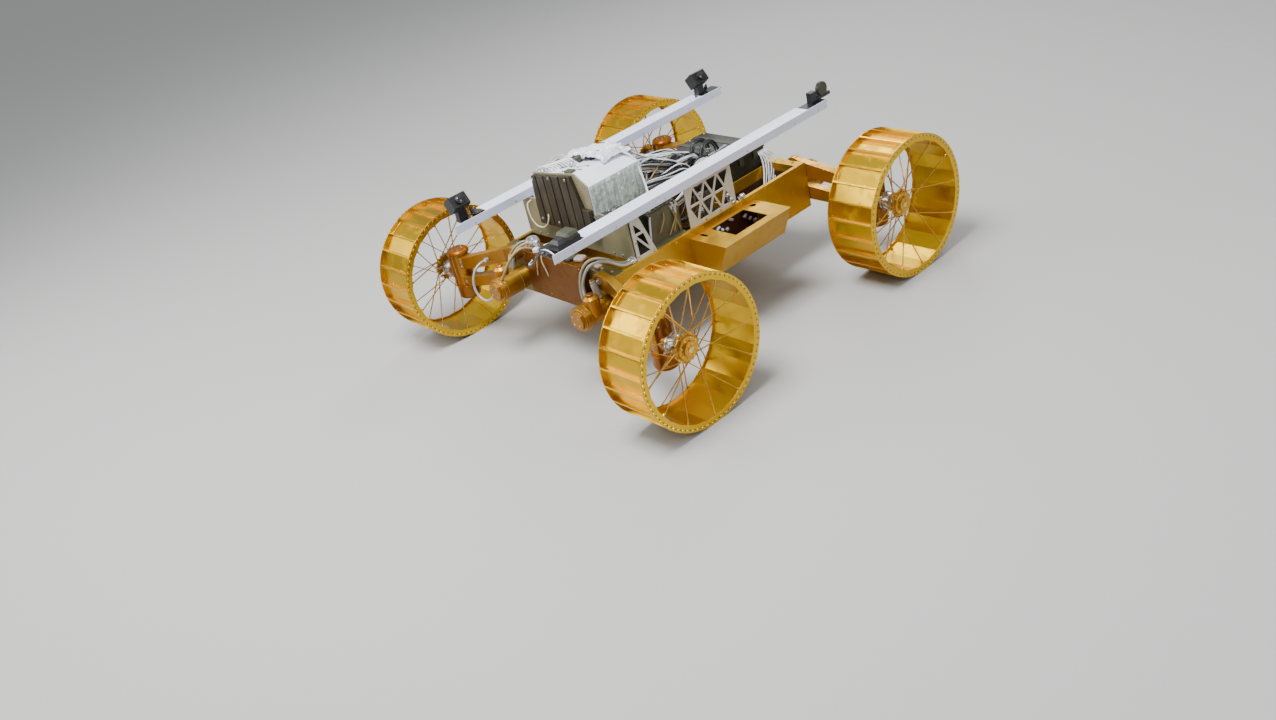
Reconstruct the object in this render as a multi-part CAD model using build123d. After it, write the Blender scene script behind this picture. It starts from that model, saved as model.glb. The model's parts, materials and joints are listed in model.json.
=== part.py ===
from build123d import *
import os
from math import cos, hypot, radians, sin, tan

os.makedirs("parts", exist_ok=True)

# Lunar rover with four driven and steered wheels. Millimetres.
# +X is forward, +Y is left, +Z is up. The origin is on the floor, in the middle of the four wheels.

# Stance
wheelbase = 1070
track = 1270

# Wheel: flat plates and straight grousers between two side rings, all with the same tread radius
tip_radius = 250
wheel_width = 187
grouser_count = 24
grouser_height = 14
grouser_thickness = 6
drum_wall = 2.5
ring_sheet = 3
ring_opening_radius = 226

# Hub and wire spokes, with places measured outwards from the wheel's middle plane
hub_inner_face = 20
toothed_ring_radius = 44
toothed_ring_thickness = 8
tooth_count = 20
tooth_height = 6
tooth_width = 7
cap_radius = 41
cap_thickness = 8
cap_chamfer = 2
boss_radius = 25
boss_height = 8
boss_hollow_radius = 9
boss_hollow_depth = 4
spoke_count = 24
spoke_thickness = 3
spoke_sweep = 55

# Steering: the knuckle turns about an upright actuator
kingpin_distance = 90
actuator_radius = 34
actuator_bottom = 205
actuator_top = 330
bearing_gap = 0.5
knuckle_cap = 16
knuckle_dome = 14
dome_steps = 4
knuckle_cup = 54
strap_gap = 1
strap_thickness = 7
strap_half_angle = 60
motor_radius = 27
motor_round = 6
motor_flange_radius = 34
motor_flange_thickness = 7
shaft_radius = 10
shaft_length = 16
running_gap = 0.3

# Suspension arms: root barrel on the end beam, lug on the steering actuator
arm_thickness = 28
arm_straight = 50
lug_half_width = 24
lug_length = 16
upper_root_y = 240
upper_root_z = 364
upper_barrel_radius = 28
upper_root_depth = 56
upper_lug_z = 302
upper_lug_depth = 44
lower_root_y = 230
lower_root_z = 272
lower_barrel_radius = 40
lower_root_depth = 56
lower_lug_z = 228
lower_lug_depth = 36
lift_actuator_radius = 42
lift_actuator_length = 106
lift_cap_radius = 33
lift_cap_length = 10
knob_place = 54
knob_offset = 20
knob_radius = 27
knob_height = 72
knob_chamfer = 9
strut_radius = 9
strut_gap = 3
strut_foot_offset = 22
strut_head_offset = -8
strut_head_height = 104

# Tub
tub_half_length = 470
tub_half_width = 300
tub_bottom = 210
tub_top = 382
sheet = 4
wall_flange = 15
beam_depth = 40
nose_depth = 30
nose_half_width = 158
nose_bottom = 240
nose_top = 400
cross_wall_place = -92
trough_wall_y = 165

# Side boxes between the wheels
box_front = 128
box_rear = -197
box_top = 355
box_bottom = 249
box_top_width = 165
box_bottom_width = 117
box_sheet = 3
hatch_front = 42
hatch_rear = -120
hatch_inset = 12
hatch_width = 118
slot_place = 87
slot_length = 36
slot_width = 13
port_place = -160
port_radius = 12
port_inset = 22

# Rails
rail_y = 269
rail_width = 62
rail_top = 559
rail_sheet = 3
rail_web = 30
rail_lip = 18
rail_front = 680
rail_rear = -630
cope_front = 545
cope_rear = -530
rail_hole_radius = 3.3
rail_hole_spacing_x = 120
rail_hole_spacing_y = 32
rail_hole_place = -330

# Truss panels under the rails
truss_y = 290
truss_sheet = 3
mid_truss_front = 110
mid_truss_rear = -115
mid_truss_border = 9
mid_truss_rib = 8
mid_truss_columns = 3
mid_truss_rows = 2
truss_disc_radius = 8
nose_bay_length = 70
gusset_head_length = 30
gusset_foot_length = 88

# Bulkhead, boxes and heat sink
bulkhead_half_width = 284
bulkhead_sheet = 4
bay_overhang = 15
bay_length = 230
bay_left_width = 134
bay_right_width = 170
bay_bottom = 455
bay_top = 662
bay_shoulder_drop = 36
bay_shoulder_run = 57
bay_right_drop = 26
bay_right_lean = 20
bay_seat_gap = 1
flange_reach = 5
flange_sheet = 4
base_inset = 25
sink_shoulder_drop = 112
sink_shoulder_run = 40
sink_top_run = 70
sink_inset = 2
fin_plate = 10
fin_depth = 5
fin_width = 34
fin_pitch = 43
fin_count = 7
deck_length = 230
controller_length = 134
controller_width = 94
controller_height = 116
controller_inset = 17
controller_chamfer = 6
controller_ribs = 6
rib_height = 4
rib_width = 8
battery_gap = 4
battery_length = 176
battery_half_width = 150
battery_top = 461
lid_thickness = 16
lid_overhang = 5
power_unit_half_width = 120
power_unit_top = 420
sensor_length = 76
sensor_width = 44
sensor_height = 34
sensor_chamfer = 12
sensor_y = -80

# Wire harness over the bay, in round looms with a plug at both ends
loom_radius = 7
loom_plug_radius = 11
loom_plug_length = 22
loom_lead = 48
loom_height = 492
loom_bend = 34
loom_bend_height = 464
jumper_radius = 5
jumper_plug_radius = 8
jumper_plug_length = 16
jumper_front = -206
jumper_rear = -290
jumper_height = 522
jumper_rise = 36
jumper_shoulder = 28

# Cameras on the right rail and the plain units on the left one
bracket_sheet = 4
bracket_hold = 40
bracket_reach = 92
bracket_gap = 1
pedestal_height = 40
pedestal_length = 30
pedestal_width = 24
camera_length = 68
camera_width = 50
camera_height = 48
camera_edge = 6
camera_tilt = 36
camera_centre_height = 60
front_camera_place = 628
rear_camera_place = -545
lens_radius = 15
lens_length = 9
low_unit_rear = 556
low_unit_length = 92
low_unit_half_width = 24
low_unit_height = 28
low_unit_chamfer = 10
antenna_place = -645
antenna_height = 33
antenna_radius = 26
antenna_thickness = 12
antenna_arm_end = -680
antenna_arm_half_width = 9
antenna_arm_height = 14
antenna_arm_thickness = 12

# Places worked out from the sizes above
half_pitch = 180 / grouser_count
wheel_height = tip_radius
drum_radius = tip_radius - grouser_height
wheel_x = wheelbase / 2
wheel_y = track / 2
kingpin_y = wheel_y - kingpin_distance
strap_inner = actuator_radius + strap_gap
strap_outer = strap_inner + strap_thickness
knuckle_top = actuator_top + bearing_gap + knuckle_cap
knuckle_bottom = actuator_bottom - bearing_gap - knuckle_cup
rail_under = rail_top - rail_sheet
web_bottom = rail_top - rail_web
wall_inner = tub_half_width - sheet
box_top_y = tub_half_width + box_top_width
box_bottom_y = tub_half_width + box_bottom_width
gusset_front = tub_half_length - beam_depth - nose_bay_length
bay_front = gusset_front + bay_overhang
bay_rear = bay_front - bay_length

ENDS = (("front", 1), ("rear", -1))
SIDES = (("left", 1), ("right", -1))


def block(x, y, z):
    """A box from its three spans, each a (low, high) pair."""
    centre = [(span[0] + span[1]) / 2 for span in (x, y, z)]
    return Pos(*centre) * Box(x[1] - x[0], y[1] - y[0], z[1] - z[0])


def to_corner(shape, end, side):
    """Takes a front left piece to the corner at the given end and side."""
    if end < 0:
        shape = mirror(shape, about=Plane.YZ)
    if side < 0:
        shape = mirror(shape, about=Plane.XZ)
    return shape


def to_side(shape, side):
    """Takes a left piece to the given side."""
    return shape if side > 0 else mirror(shape, about=Plane.XZ)


def write(shape, node):
    export_step(shape, f"parts/{node}.step")


# Wheel

def drum_prism(radius, low, high):
    """A prism over the drum's polygon, along the axle, between two places from the middle plane."""
    outline = Plane.XZ * RegularPolygon(radius, grouser_count, rotation=half_pitch)
    return Pos(0, high, 0) * extrude(outline, amount=high - low)


def side_ring(low):
    """A flat ring, with two flats for each grouser on its outer edge, so that one flat meets the floor."""
    outline = RegularPolygon(tip_radius, 2 * grouser_count, major_radius=False, rotation=half_pitch / 2)
    ring = Pos(0, low + ring_sheet, 0) * extrude(Plane.XZ * outline, amount=ring_sheet)
    return ring - drum_prism(ring_opening_radius, low, low + ring_sheet)


def wheel_drum():
    half = wheel_width / 2
    inside = half - ring_sheet
    drum = drum_prism(drum_radius, -inside, inside) - drum_prism(drum_radius - drum_wall, -inside, inside)
    root = drum_wall / 2
    grouser = Pos(drum_radius + (grouser_height - root) / 2, 0, 0) * Box(
        grouser_height + root, 2 * inside, grouser_thickness
    )
    for index in range(grouser_count):
        drum += Rot(0, (2 * index + 1) * half_pitch, 0) * grouser
    drum += side_ring(-half) + side_ring(inside)
    return Pos(wheel_x, wheel_y, wheel_height) * drum


def wheel_hub():
    """The cap, the toothed ring behind it, and spokes that cross over to both side rings in turn."""
    ring_face = hub_inner_face + toothed_ring_thickness
    cap_face = ring_face + cap_thickness
    boss_face = cap_face + boss_height
    # Half section of the hub: radius, place along the axle
    section = [
        (0, hub_inner_face),
        (toothed_ring_radius, hub_inner_face),
        (toothed_ring_radius, ring_face),
        (cap_radius, ring_face),
        (cap_radius, cap_face - cap_chamfer),
        (cap_radius - cap_chamfer, cap_face),
        (boss_radius, cap_face),
        (boss_radius, boss_face),
        (boss_hollow_radius, boss_face),
        (boss_hollow_radius, boss_face - boss_hollow_depth),
        (0, boss_face - boss_hollow_depth),
    ]
    hub = revolve(make_face(Polyline(*section, close=True)), Axis.Y)
    ring_middle = (hub_inner_face + ring_face) / 2
    tooth = Pos(toothed_ring_radius, ring_middle, 0) * Box(2 * tooth_height, toothed_ring_thickness, tooth_width)
    for index in range(tooth_count):
        hub += Rot(0, index * 360 / tooth_count, 0) * tooth
    bore_depth = shaft_length + running_gap
    bore = Plane.XZ * Circle(shaft_radius + running_gap)
    hub -= Pos(0, hub_inner_face + bore_depth, 0) * extrude(bore, amount=bore_depth)
    half = wheel_width / 2
    seat_radius = ring_opening_radius * cos(radians(half_pitch))
    root_radius = toothed_ring_radius - spoke_thickness
    wires = None
    for index in range(spoke_count):
        rim_angle = radians(index * 360 / spoke_count)
        # Spokes go to the outer and the inner ring in turn, and each ring's own lean both ways in turn
        seat_place = (half - ring_sheet / 2) * (-1 if index % 2 else 1)
        root_angle = rim_angle + radians(spoke_sweep) * (-1 if index // 2 % 2 else 1)
        start = Vector(root_radius * cos(root_angle), ring_middle, root_radius * sin(root_angle))
        seat = Vector(seat_radius * cos(rim_angle), seat_place, seat_radius * sin(rim_angle))
        along = seat - start
        # The wire runs past its seat and is cut off flush with the ring's edge
        wire_length = along.length + 2 * spoke_thickness
        section = Plane(origin=start, z_dir=along) * Rectangle(spoke_thickness, spoke_thickness)
        wire = extrude(section, amount=wire_length)
        wires = wire if wires is None else wires + wire
    wires = wires & drum_prism(ring_opening_radius, -half, half)
    return Pos(wheel_x, wheel_y, wheel_height) * (hub + wires)


# Steering

def steering_actuator():
    height = actuator_top - actuator_bottom
    return Pos(wheel_x, kingpin_y, actuator_bottom + height / 2) * Cylinder(actuator_radius, height)


def domed_puck(height):
    """An upright puck on the floor, whose top edge is rounded off in a few conical steps."""
    section = [(0, 0, 0), (strap_outer, 0, 0)]
    for step in range(dome_steps + 1):
        turn = radians(90 * step / dome_steps)
        section.append((strap_outer - knuckle_dome * (1 - cos(turn)), 0, height - knuckle_dome * (1 - sin(turn))))
    section.append((0, 0, height))
    return revolve(make_face(Polyline(*section, close=True)), Axis.Z)


def knuckle():
    cap = Pos(0, 0, actuator_top + bearing_gap) * domed_puck(knuckle_cap)
    cup = Pos(0, 0, actuator_bottom - bearing_gap) * mirror(domed_puck(knuckle_cup), about=Plane.XY)
    strap_low = knuckle_bottom + knuckle_dome
    strap_high = knuckle_top - knuckle_dome
    ring = Circle(strap_outer) - Circle(strap_inner)
    reach = 2 * strap_outer
    wedge = Polygon(
        (0, 0),
        (reach * sin(radians(strap_half_angle)), reach * cos(radians(strap_half_angle))),
        (-reach * sin(radians(strap_half_angle)), reach * cos(radians(strap_half_angle))),
        align=None,
    )
    strap = Pos(0, 0, strap_low) * extrude(ring & wedge, amount=strap_high - strap_low)
    boss_face = kingpin_distance + hub_inner_face - running_gap - motor_length() - motor_flange_thickness
    boss = Plane.XZ * Circle(motor_flange_radius)
    boss = Pos(0, boss_face, wheel_height) * extrude(boss, amount=boss_face)
    boss -= Pos(0, 0, wheel_height) * Cylinder(strap_inner, 4 * motor_flange_radius)
    return Pos(wheel_x, kingpin_y, 0) * (cap + cup + strap + boss)


def motor_length():
    """The motor's can, between its flange on the knuckle's boss and the hub."""
    return kingpin_distance + hub_inner_face - running_gap - strap_outer - 2 * motor_flange_thickness


def drive_motor():
    can_end = hub_inner_face - running_gap
    flange_start = can_end - motor_length() - motor_flange_thickness
    # Half section of the motor: radius, place along the axle
    section = [
        (0, flange_start),
        (motor_flange_radius, flange_start),
        (motor_flange_radius, flange_start + motor_flange_thickness),
        (motor_radius, flange_start + motor_flange_thickness),
        (motor_radius, can_end - motor_round),
        (motor_radius - motor_round, can_end),
        (shaft_radius, can_end),
        (shaft_radius, hub_inner_face + shaft_length),
        (0, hub_inner_face + shaft_length),
    ]
    motor = revolve(make_face(Polyline(*section, close=True)), Axis.Y)
    return Pos(wheel_x, wheel_y, wheel_height) * motor


# Suspension

def arm(root_y, root_z, barrel_radius, root_depth, lug_z, lug_depth):
    """A tapered arm from its barrel on the beam to its lug on the steering actuator."""
    lug_y = kingpin_y - actuator_radius - lug_length
    profile = Polygon(
        (root_y, root_z - root_depth / 2),
        (lug_y, lug_z - lug_depth / 2),
        (kingpin_y, lug_z - lug_depth / 2),
        (kingpin_y, lug_z + lug_depth / 2),
        (lug_y, lug_z + lug_depth / 2),
        (root_y, root_z + root_depth / 2),
        align=None,
    )
    side_view = extrude(Plane.YZ * profile, amount=2 * wheel_x)
    plan = Polygon(
        (tub_half_length, root_y),
        (tub_half_length + arm_thickness, root_y),
        (tub_half_length + arm_thickness, root_y + arm_straight),
        (wheel_x + lug_half_width, lug_y),
        (wheel_x + lug_half_width, kingpin_y),
        (wheel_x - lug_half_width, kingpin_y),
        (wheel_x - lug_half_width, lug_y),
        (tub_half_length, root_y + arm_straight),
        align=None,
    )
    top_view = extrude(plan, amount=2 * rail_top)
    link = side_view & top_view
    barrel = Plane.YZ * Pos(root_y, root_z) * Circle(barrel_radius)
    link += Pos(tub_half_length, 0, 0) * extrude(barrel, amount=arm_thickness)
    housing = Pos(wheel_x, kingpin_y, rail_top / 2) * Cylinder(actuator_radius, rail_top)
    return link - housing


def upper_arm():
    return arm(upper_root_y, upper_root_z, upper_barrel_radius, upper_root_depth, upper_lug_z, upper_lug_depth)


def lower_arm():
    return arm(lower_root_y, lower_root_z, lower_barrel_radius, lower_root_depth, lower_lug_z, lower_lug_depth)


def lift_actuator():
    """A can in front of the lower arm's pivot, with a knob on top and a strut to the upper arm's root."""
    seat = tub_half_length + arm_thickness
    can = Plane.YZ * Pos(lower_root_y, lower_root_z) * Circle(lift_actuator_radius)
    end_cap = Plane.YZ * Pos(lower_root_y, lower_root_z) * RegularPolygon(lift_cap_radius, 8)
    body = Pos(seat, 0, 0) * extrude(can, amount=lift_actuator_length)
    body += Pos(seat, 0, 0) * extrude(end_cap, amount=lift_actuator_length + lift_cap_length)
    # Half section of the knob: radius, height over the can's middle line
    section = [
        (0, 0, 0),
        (knob_radius, 0, 0),
        (knob_radius, 0, knob_height - knob_chamfer),
        (knob_radius - knob_chamfer, 0, knob_height),
        (0, 0, knob_height),
    ]
    knob = revolve(make_face(Polyline(*section, close=True)), Axis.Z)
    body += Pos(seat + knob_place, lower_root_y + knob_offset, lower_root_z) * knob
    strut_x = seat + strut_gap + strut_radius
    foot = Vector(strut_x, lower_root_y + strut_foot_offset, lower_root_z)
    head = Vector(strut_x, lower_root_y + strut_head_offset, lower_root_z + strut_head_height)
    strut = extrude(Plane(origin=foot, z_dir=head - foot) * Circle(strut_radius), amount=(head - foot).length)
    return body + strut


# Tub

def tub_floor():
    half_length = tub_half_length - beam_depth
    return block((-half_length, half_length), (-wall_inner, wall_inner), (tub_bottom, tub_bottom + sheet))


def side_wall():
    length = (-tub_half_length, tub_half_length)
    wall = block(length, (wall_inner, tub_half_width), (tub_bottom, tub_top))
    half_bay = tub_half_length - beam_depth
    return wall + block((-half_bay, half_bay), (tub_half_width - wall_flange, wall_inner), (tub_top - sheet, tub_top))


def rear_beam():
    inner = -tub_half_length + beam_depth
    return block((-tub_half_length, inner), (-wall_inner, wall_inner), (tub_bottom, tub_top))


def front_beam():
    inner = tub_half_length - beam_depth
    beam = block((inner, tub_half_length), (-wall_inner, wall_inner), (tub_bottom, tub_top))
    nose_x = (inner, tub_half_length + nose_depth)
    return beam + block(nose_x, (-nose_half_width, nose_half_width), (nose_bottom, nose_top))


def tub_dividers():
    """A cross wall with the inner walls of both cable troughs behind it."""
    height = (tub_bottom + sheet, tub_top)
    walls = block((cross_wall_place, cross_wall_place + sheet), (-trough_wall_y, trough_wall_y), height)
    length = (-tub_half_length + beam_depth, cross_wall_place)
    for side_name, side in SIDES:
        walls += to_side(block(length, (trough_wall_y - sheet, trough_wall_y), height), side)
        across = block((cross_wall_place, cross_wall_place + sheet), (trough_wall_y, wall_inner),
                       (tub_bottom + sheet, tub_top - sheet))
        walls += to_side(across, side)
    return walls


def side_box():
    """A folded box with a leaning outer wall, a hatch, a slot and a port in its top sheet."""
    lean = (box_top_y - box_bottom_y) / (box_top - box_bottom)
    outline = Polygon(
        (tub_half_width, box_bottom),
        (box_bottom_y, box_bottom),
        (box_top_y, box_top),
        (tub_half_width, box_top),
        align=None,
    )
    low = box_bottom + box_sheet
    high = box_top - box_sheet
    wall_run = box_sheet * hypot(1, lean)
    hollow = Polygon(
        (tub_half_width, low),
        (box_bottom_y + lean * box_sheet - wall_run, low),
        (box_top_y - lean * box_sheet - wall_run, high),
        (tub_half_width, high),
        align=None,
    )
    box = Pos(box_rear, 0, 0) * extrude(Plane.YZ * outline, amount=box_front - box_rear)
    inside_length = box_front - box_rear - 2 * box_sheet
    box -= Pos(box_rear + box_sheet, 0, 0) * extrude(Plane.YZ * hollow, amount=inside_length)
    through = (high - box_sheet, box_top + box_sheet)
    hatch_y = tub_half_width + hatch_inset
    port_y = tub_half_width + port_inset
    box -= block((hatch_rear, hatch_front), (hatch_y, hatch_y + hatch_width), through)
    slot = Pos(slot_place, port_y, through[0]) * extrude(
        Rot(0, 0, 90) * SlotOverall(slot_length, slot_width), amount=through[1] - through[0]
    )
    port = Pos(port_place, port_y, through[0]) * extrude(Circle(port_radius), amount=through[1] - through[0])
    return box - slot - port


# Rails and truss panels

def rail():
    """A folded channel, open below, its ends coped so that only the left web goes on."""
    inner = -rail_width / 2
    outer = rail_width / 2
    web = block((rail_rear, rail_front), (outer - rail_sheet, outer), (web_bottom, rail_top))
    top = block((cope_rear, cope_front), (inner, outer), (rail_under, rail_top))
    lip = block((cope_rear, cope_front), (inner, inner + rail_sheet), (rail_top - rail_lip, rail_top))
    rail_body = web + top + lip
    for x in (-rail_hole_spacing_x / 2, rail_hole_spacing_x / 2):
        for y in (-rail_hole_spacing_y / 2, rail_hole_spacing_y / 2):
            rail_body -= Pos(rail_hole_place + x, y, rail_top) * Cylinder(rail_hole_radius, 4 * rail_sheet)
    return rail_body


def inset_triangle(corners, rib):
    """The triangle left open when each side gives up half a rib."""
    sides = [hypot(corners[i][0] - corners[i - 1][0], corners[i][1] - corners[i - 1][1]) for i in range(3)]
    (ax, ay), (bx, by), (cx, cy) = corners
    area = abs((bx - ax) * (cy - ay) - (cx - ax) * (by - ay)) / 2
    # Each corner's opposite side weights it in the centre of the inner circle
    weights = (sides[2], sides[0], sides[1])
    perimeter = sum(sides)
    middle_x = sum(w * c[0] for w, c in zip(weights, corners)) / perimeter
    middle_y = sum(w * c[1] for w, c in zip(weights, corners)) / perimeter
    shrink = 1 - (rib / 2) / (2 * area / perimeter)
    points = [(middle_x + shrink * (x - middle_x), middle_y + shrink * (y - middle_y)) for x, y in corners]
    return Polygon(*points, align=None)


def mid_truss():
    """A sheet panel with a triangle grid cut out of it."""
    left = mid_truss_rear + mid_truss_border
    cell = (mid_truss_front - mid_truss_rear - 2 * mid_truss_border) / (mid_truss_columns + 0.5)
    low = tub_top + mid_truss_border
    row = (web_bottom - mid_truss_border - low) / mid_truss_rows
    panel = Plane.XZ * Polygon(
        (mid_truss_rear, tub_top),
        (mid_truss_front, tub_top),
        (mid_truss_front, rail_under),
        (mid_truss_rear, rail_under),
        align=None,
    )
    cuts = []
    for level in range(mid_truss_rows):
        foot = low + level * row
        head = foot + row
        # Odd rows stand on their heads, so that ribs meet at shared nodes
        if level % 2:
            foot, head = head, foot
        for column in range(mid_truss_columns):
            x = left + column * cell
            cuts.append([(x, foot), (x + cell, foot), (x + cell / 2, head)])
            cuts.append([(x + cell / 2, head), (x + 3 * cell / 2, head), (x + cell, foot)])
    for corners in cuts:
        panel -= Plane.XZ * inset_triangle(corners, mid_truss_rib)
    # A disc where the ribs meet between two rows
    for level in range(1, mid_truss_rows):
        for column in range(mid_truss_columns):
            x = left + (column + 1 - level % 2 / 2) * cell
            panel += Plane.XZ * Pos(x, low + level * row) * Circle(truss_disc_radius)
    return Pos(0, truss_y + truss_sheet / 2, 0) * extrude(panel, amount=truss_sheet)


def front_gusset():
    """A three-sided panel with an upright front edge and a sloping rear edge."""
    head_rear = gusset_front - gusset_head_length
    foot_rear = gusset_front - gusset_foot_length
    outline = Plane.XZ * Polygon(
        (foot_rear, tub_top),
        (gusset_front, tub_top),
        (gusset_front, rail_under),
        (head_rear, rail_under),
        align=None,
    )
    middle = (tub_top + rail_under) / 2
    middle_rear = (head_rear + foot_rear) / 2
    border = mid_truss_border
    cuts = (
        [(foot_rear + 2 * border, tub_top + border), (gusset_front - border, tub_top + border),
         (gusset_front - border, middle)],
        [(foot_rear + 2 * border, tub_top + border), (gusset_front - border, middle),
         (middle_rear + border, middle)],
        [(middle_rear + border, middle), (gusset_front - border, middle),
         (gusset_front - border, web_bottom - border)],
    )
    for corners in cuts:
        outline -= Plane.XZ * inset_triangle(corners, mid_truss_rib)
    return Pos(0, truss_y + truss_sheet / 2, 0) * extrude(outline, amount=truss_sheet)


# Bulkhead, boxes and heat sink

def front_bulkhead():
    plate_x = (gusset_front, gusset_front + bulkhead_sheet)
    plate = block(plate_x, (-bulkhead_half_width, bulkhead_half_width), (tub_top, web_bottom))
    notch_x = (gusset_front - bulkhead_sheet, gusset_front + 2 * bulkhead_sheet)
    notch_y = (-bay_right_width - bay_seat_gap, bay_left_width + bay_seat_gap)
    return plate - block(notch_x, notch_y, (bay_bottom, rail_top))


def bay_section():
    """The electronics box's outline, with a bevel on its left shoulder and a top that falls to the right."""
    return Plane.YZ * Polygon(
        (-bay_right_width, bay_bottom),
        (bay_left_width, bay_bottom),
        (bay_left_width, bay_top - bay_shoulder_drop),
        (bay_left_width - bay_shoulder_run, bay_top),
        (-bay_right_width + bay_right_lean, bay_top - bay_right_drop),
        align=None,
    )


def electronics_box():
    """A closed box with a flange round its front, behind the heat sink."""
    box = Pos(bay_rear, 0, 0) * extrude(bay_section(), amount=bay_length)
    reach = block((bay_front - flange_sheet, bay_front), (-bay_right_width - flange_reach, bay_left_width),
                  (bay_bottom, bay_top + flange_reach))
    flange = Pos(bay_front - flange_sheet, 0, 0) * extrude(offset(bay_section(), flange_reach, kind=Kind.INTERSECTION),
                                                           amount=flange_sheet)
    return box + (flange & reach)


def sink_section():
    """The heat sink's outline, cut back further than the box on the left shoulder."""
    top = bay_top - sink_inset
    return Plane.YZ * Polygon(
        (-bay_right_width, bay_bottom),
        (bay_left_width, bay_bottom),
        (bay_left_width, top - sink_shoulder_drop),
        (bay_left_width - sink_shoulder_run, top - sink_shoulder_drop),
        (bay_left_width - sink_top_run, top),
        (-bay_right_width + bay_right_lean, top - bay_right_drop),
        align=None,
    )


def heat_sink():
    """A plate over the box's front face, with broad upright fins."""
    sink = Pos(bay_front, 0, 0) * extrude(sink_section(), amount=fin_plate)
    fins = None
    for index in range(fin_count):
        y = bay_left_width - (index + 0.5) * fin_pitch
        fin = block((bay_front, bay_front + fin_plate + fin_depth), (y - fin_width / 2, y + fin_width / 2),
                    (bay_bottom, bay_top))
        fins = fin if fins is None else fins + fin
    reach = Pos(bay_front, 0, 0) * extrude(sink_section(), amount=fin_plate + fin_depth)
    return sink + (fins & reach)


def avionics_base():
    length = (bay_rear + base_inset, gusset_front)
    width = bay_left_width - base_inset
    return block(length, (-width, width), (tub_top + sheet, bay_bottom))


def controller():
    """A motor controller with cooling ribs across its top."""
    rear = gusset_front - deck_length
    low = tub_top + sheet
    high = low + controller_height
    outer = truss_y - truss_sheet - controller_inset
    inner = outer - controller_width
    box = block((rear, rear + controller_length), (inner, outer), (low, high))
    box = chamfer(box.edges().group_by(Axis.Z)[-1], controller_chamfer)
    pitch = controller_length / (controller_ribs + 1)
    for index in range(controller_ribs):
        x = rear + (index + 1) * pitch
        box += block((x - rib_width / 2, x + rib_width / 2), (inner + 2 * controller_chamfer,
                     outer - 2 * controller_chamfer), (high - rib_height, high + rib_height))
    return box


def equipment_deck():
    """The deck behind the bulkhead, with a motor controller on both sides."""
    half = truss_y - truss_sheet
    deck = block((gusset_front - deck_length, gusset_front), (-half, half), (tub_top, tub_top + sheet))
    for side_name, side in SIDES:
        deck += to_side(controller(), side)
    return deck


def battery_box():
    """A box on the floor between the troughs, with an overhanging lid."""
    rear = -tub_half_length + beam_depth + battery_gap
    front = rear + battery_length
    lid_low = battery_top - lid_thickness
    half = battery_half_width
    box = block((rear, front - lid_overhang), (-half, half), (tub_bottom + sheet, lid_low))
    return box + block((rear, front), (-half - lid_overhang, half + lid_overhang), (lid_low, battery_top))


def power_unit():
    """The unit between the battery box and the cross wall, with a boat-shaped sensor on top."""
    rear = -tub_half_length + beam_depth + 2 * battery_gap + battery_length
    front = cross_wall_place - battery_gap
    half = power_unit_half_width
    unit = block((rear, front), (-half, half), (tub_bottom + sheet, power_unit_top))
    sensor = extrude(Rot(0, 0, 90) * SlotOverall(sensor_length, sensor_width), amount=sensor_height)
    sensor = chamfer(sensor.edges().group_by(Axis.Z)[-1], sensor_chamfer)
    return unit + Pos((rear + front) / 2, sensor_y, power_unit_top) * sensor


# Wire harness

# Looms into the power unit's top: place, y and height of the first plug, place and y of the last one
LOOMS = (
    (bay_rear, -92, 515, -122, -84),
    (bay_rear, -48, 562, -212, -50),
    (bay_rear, -4, 508, -126, -14),
    (bay_rear, 42, 558, -218, 26),
    (bay_rear, 98, 512, -130, 70),
    (gusset_front - deck_length, 214, 452, -216, 102),
    (gusset_front - deck_length, -214, 452, -224, -108),
)
# Shares of a loom's way across the bay: along, sideways, and in height
LOOM_SHARES = (
    (0.0, 0.0, 0.0),
    (0.27, 0.12, 0.34),
    (0.52, 0.48, 0.84),
    (0.78, 0.86, 1.06),
    (1.0, 1.0, 1.0),
)
# Jumpers from the power unit over to the battery's lid, by their place across
JUMPERS = (2, 50)


def tube(points, radius):
    """A round tube along straight runs, joined by arcs as large as the runs allow."""
    places = [Vector(*point) for point in points]
    radii = []
    for before, here, after in zip(places, places[1:], places[2:]):
        shorter = min((here - before).length, (after - here).length)
        turn = (here - before).get_angle(after - here)
        radii.append(0.45 * shorter / tan(radians(turn / 2)))
    print("arc radii", [round(value) for value in radii])
    path = FilletPolyline(*points, radius=radii)
    return sweep(Plane(origin=path @ 0, z_dir=path % 0) * Circle(radius), path=path)


def loom(front, front_y, front_height, rear, rear_y):
    """A loom that leaves a face to the rear, crosses the bay and turns down into the power unit."""
    points = [(front, front_y, front_height)]
    start = front - loom_lead
    end = rear + loom_bend
    for along, sideways, height in LOOM_SHARES:
        points.append((start + along * (end - start), front_y + sideways * (rear_y - front_y),
                       front_height + height * (loom_height - front_height)))
    points += [(rear, rear_y, loom_bend_height), (rear, rear_y, power_unit_top)]
    head = Pos(front, front_y, front_height) * extrude(Plane.YZ * Circle(loom_plug_radius), amount=-loom_plug_length)
    foot = Pos(rear, rear_y, power_unit_top) * extrude(Circle(loom_plug_radius), amount=loom_plug_length)
    return tube(points, loom_radius) + head + foot


def jumper(y):
    """A short loop from the battery's lid to the power unit."""
    rise = battery_top + jumper_rise
    points = [
        (jumper_rear, y, battery_top),
        (jumper_rear, y, rise),
        (jumper_rear + jumper_shoulder, y, jumper_height),
        (jumper_front - jumper_shoulder, y, jumper_height),
        (jumper_front, y, rise),
        (jumper_front, y, power_unit_top),
    ]
    loop = tube(points, jumper_radius)
    for x, low in ((jumper_rear, battery_top), (jumper_front, power_unit_top)):
        loop += Pos(x, y, low) * extrude(Circle(jumper_plug_radius), amount=jumper_plug_length)
    return loop


def wire_harness():
    pieces = [loom(*row) for row in LOOMS]
    pieces += [jumper(y) for y in JUMPERS]
    return Compound(children=pieces)


# Cameras and other units, each on a bracket at a rail's end

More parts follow.
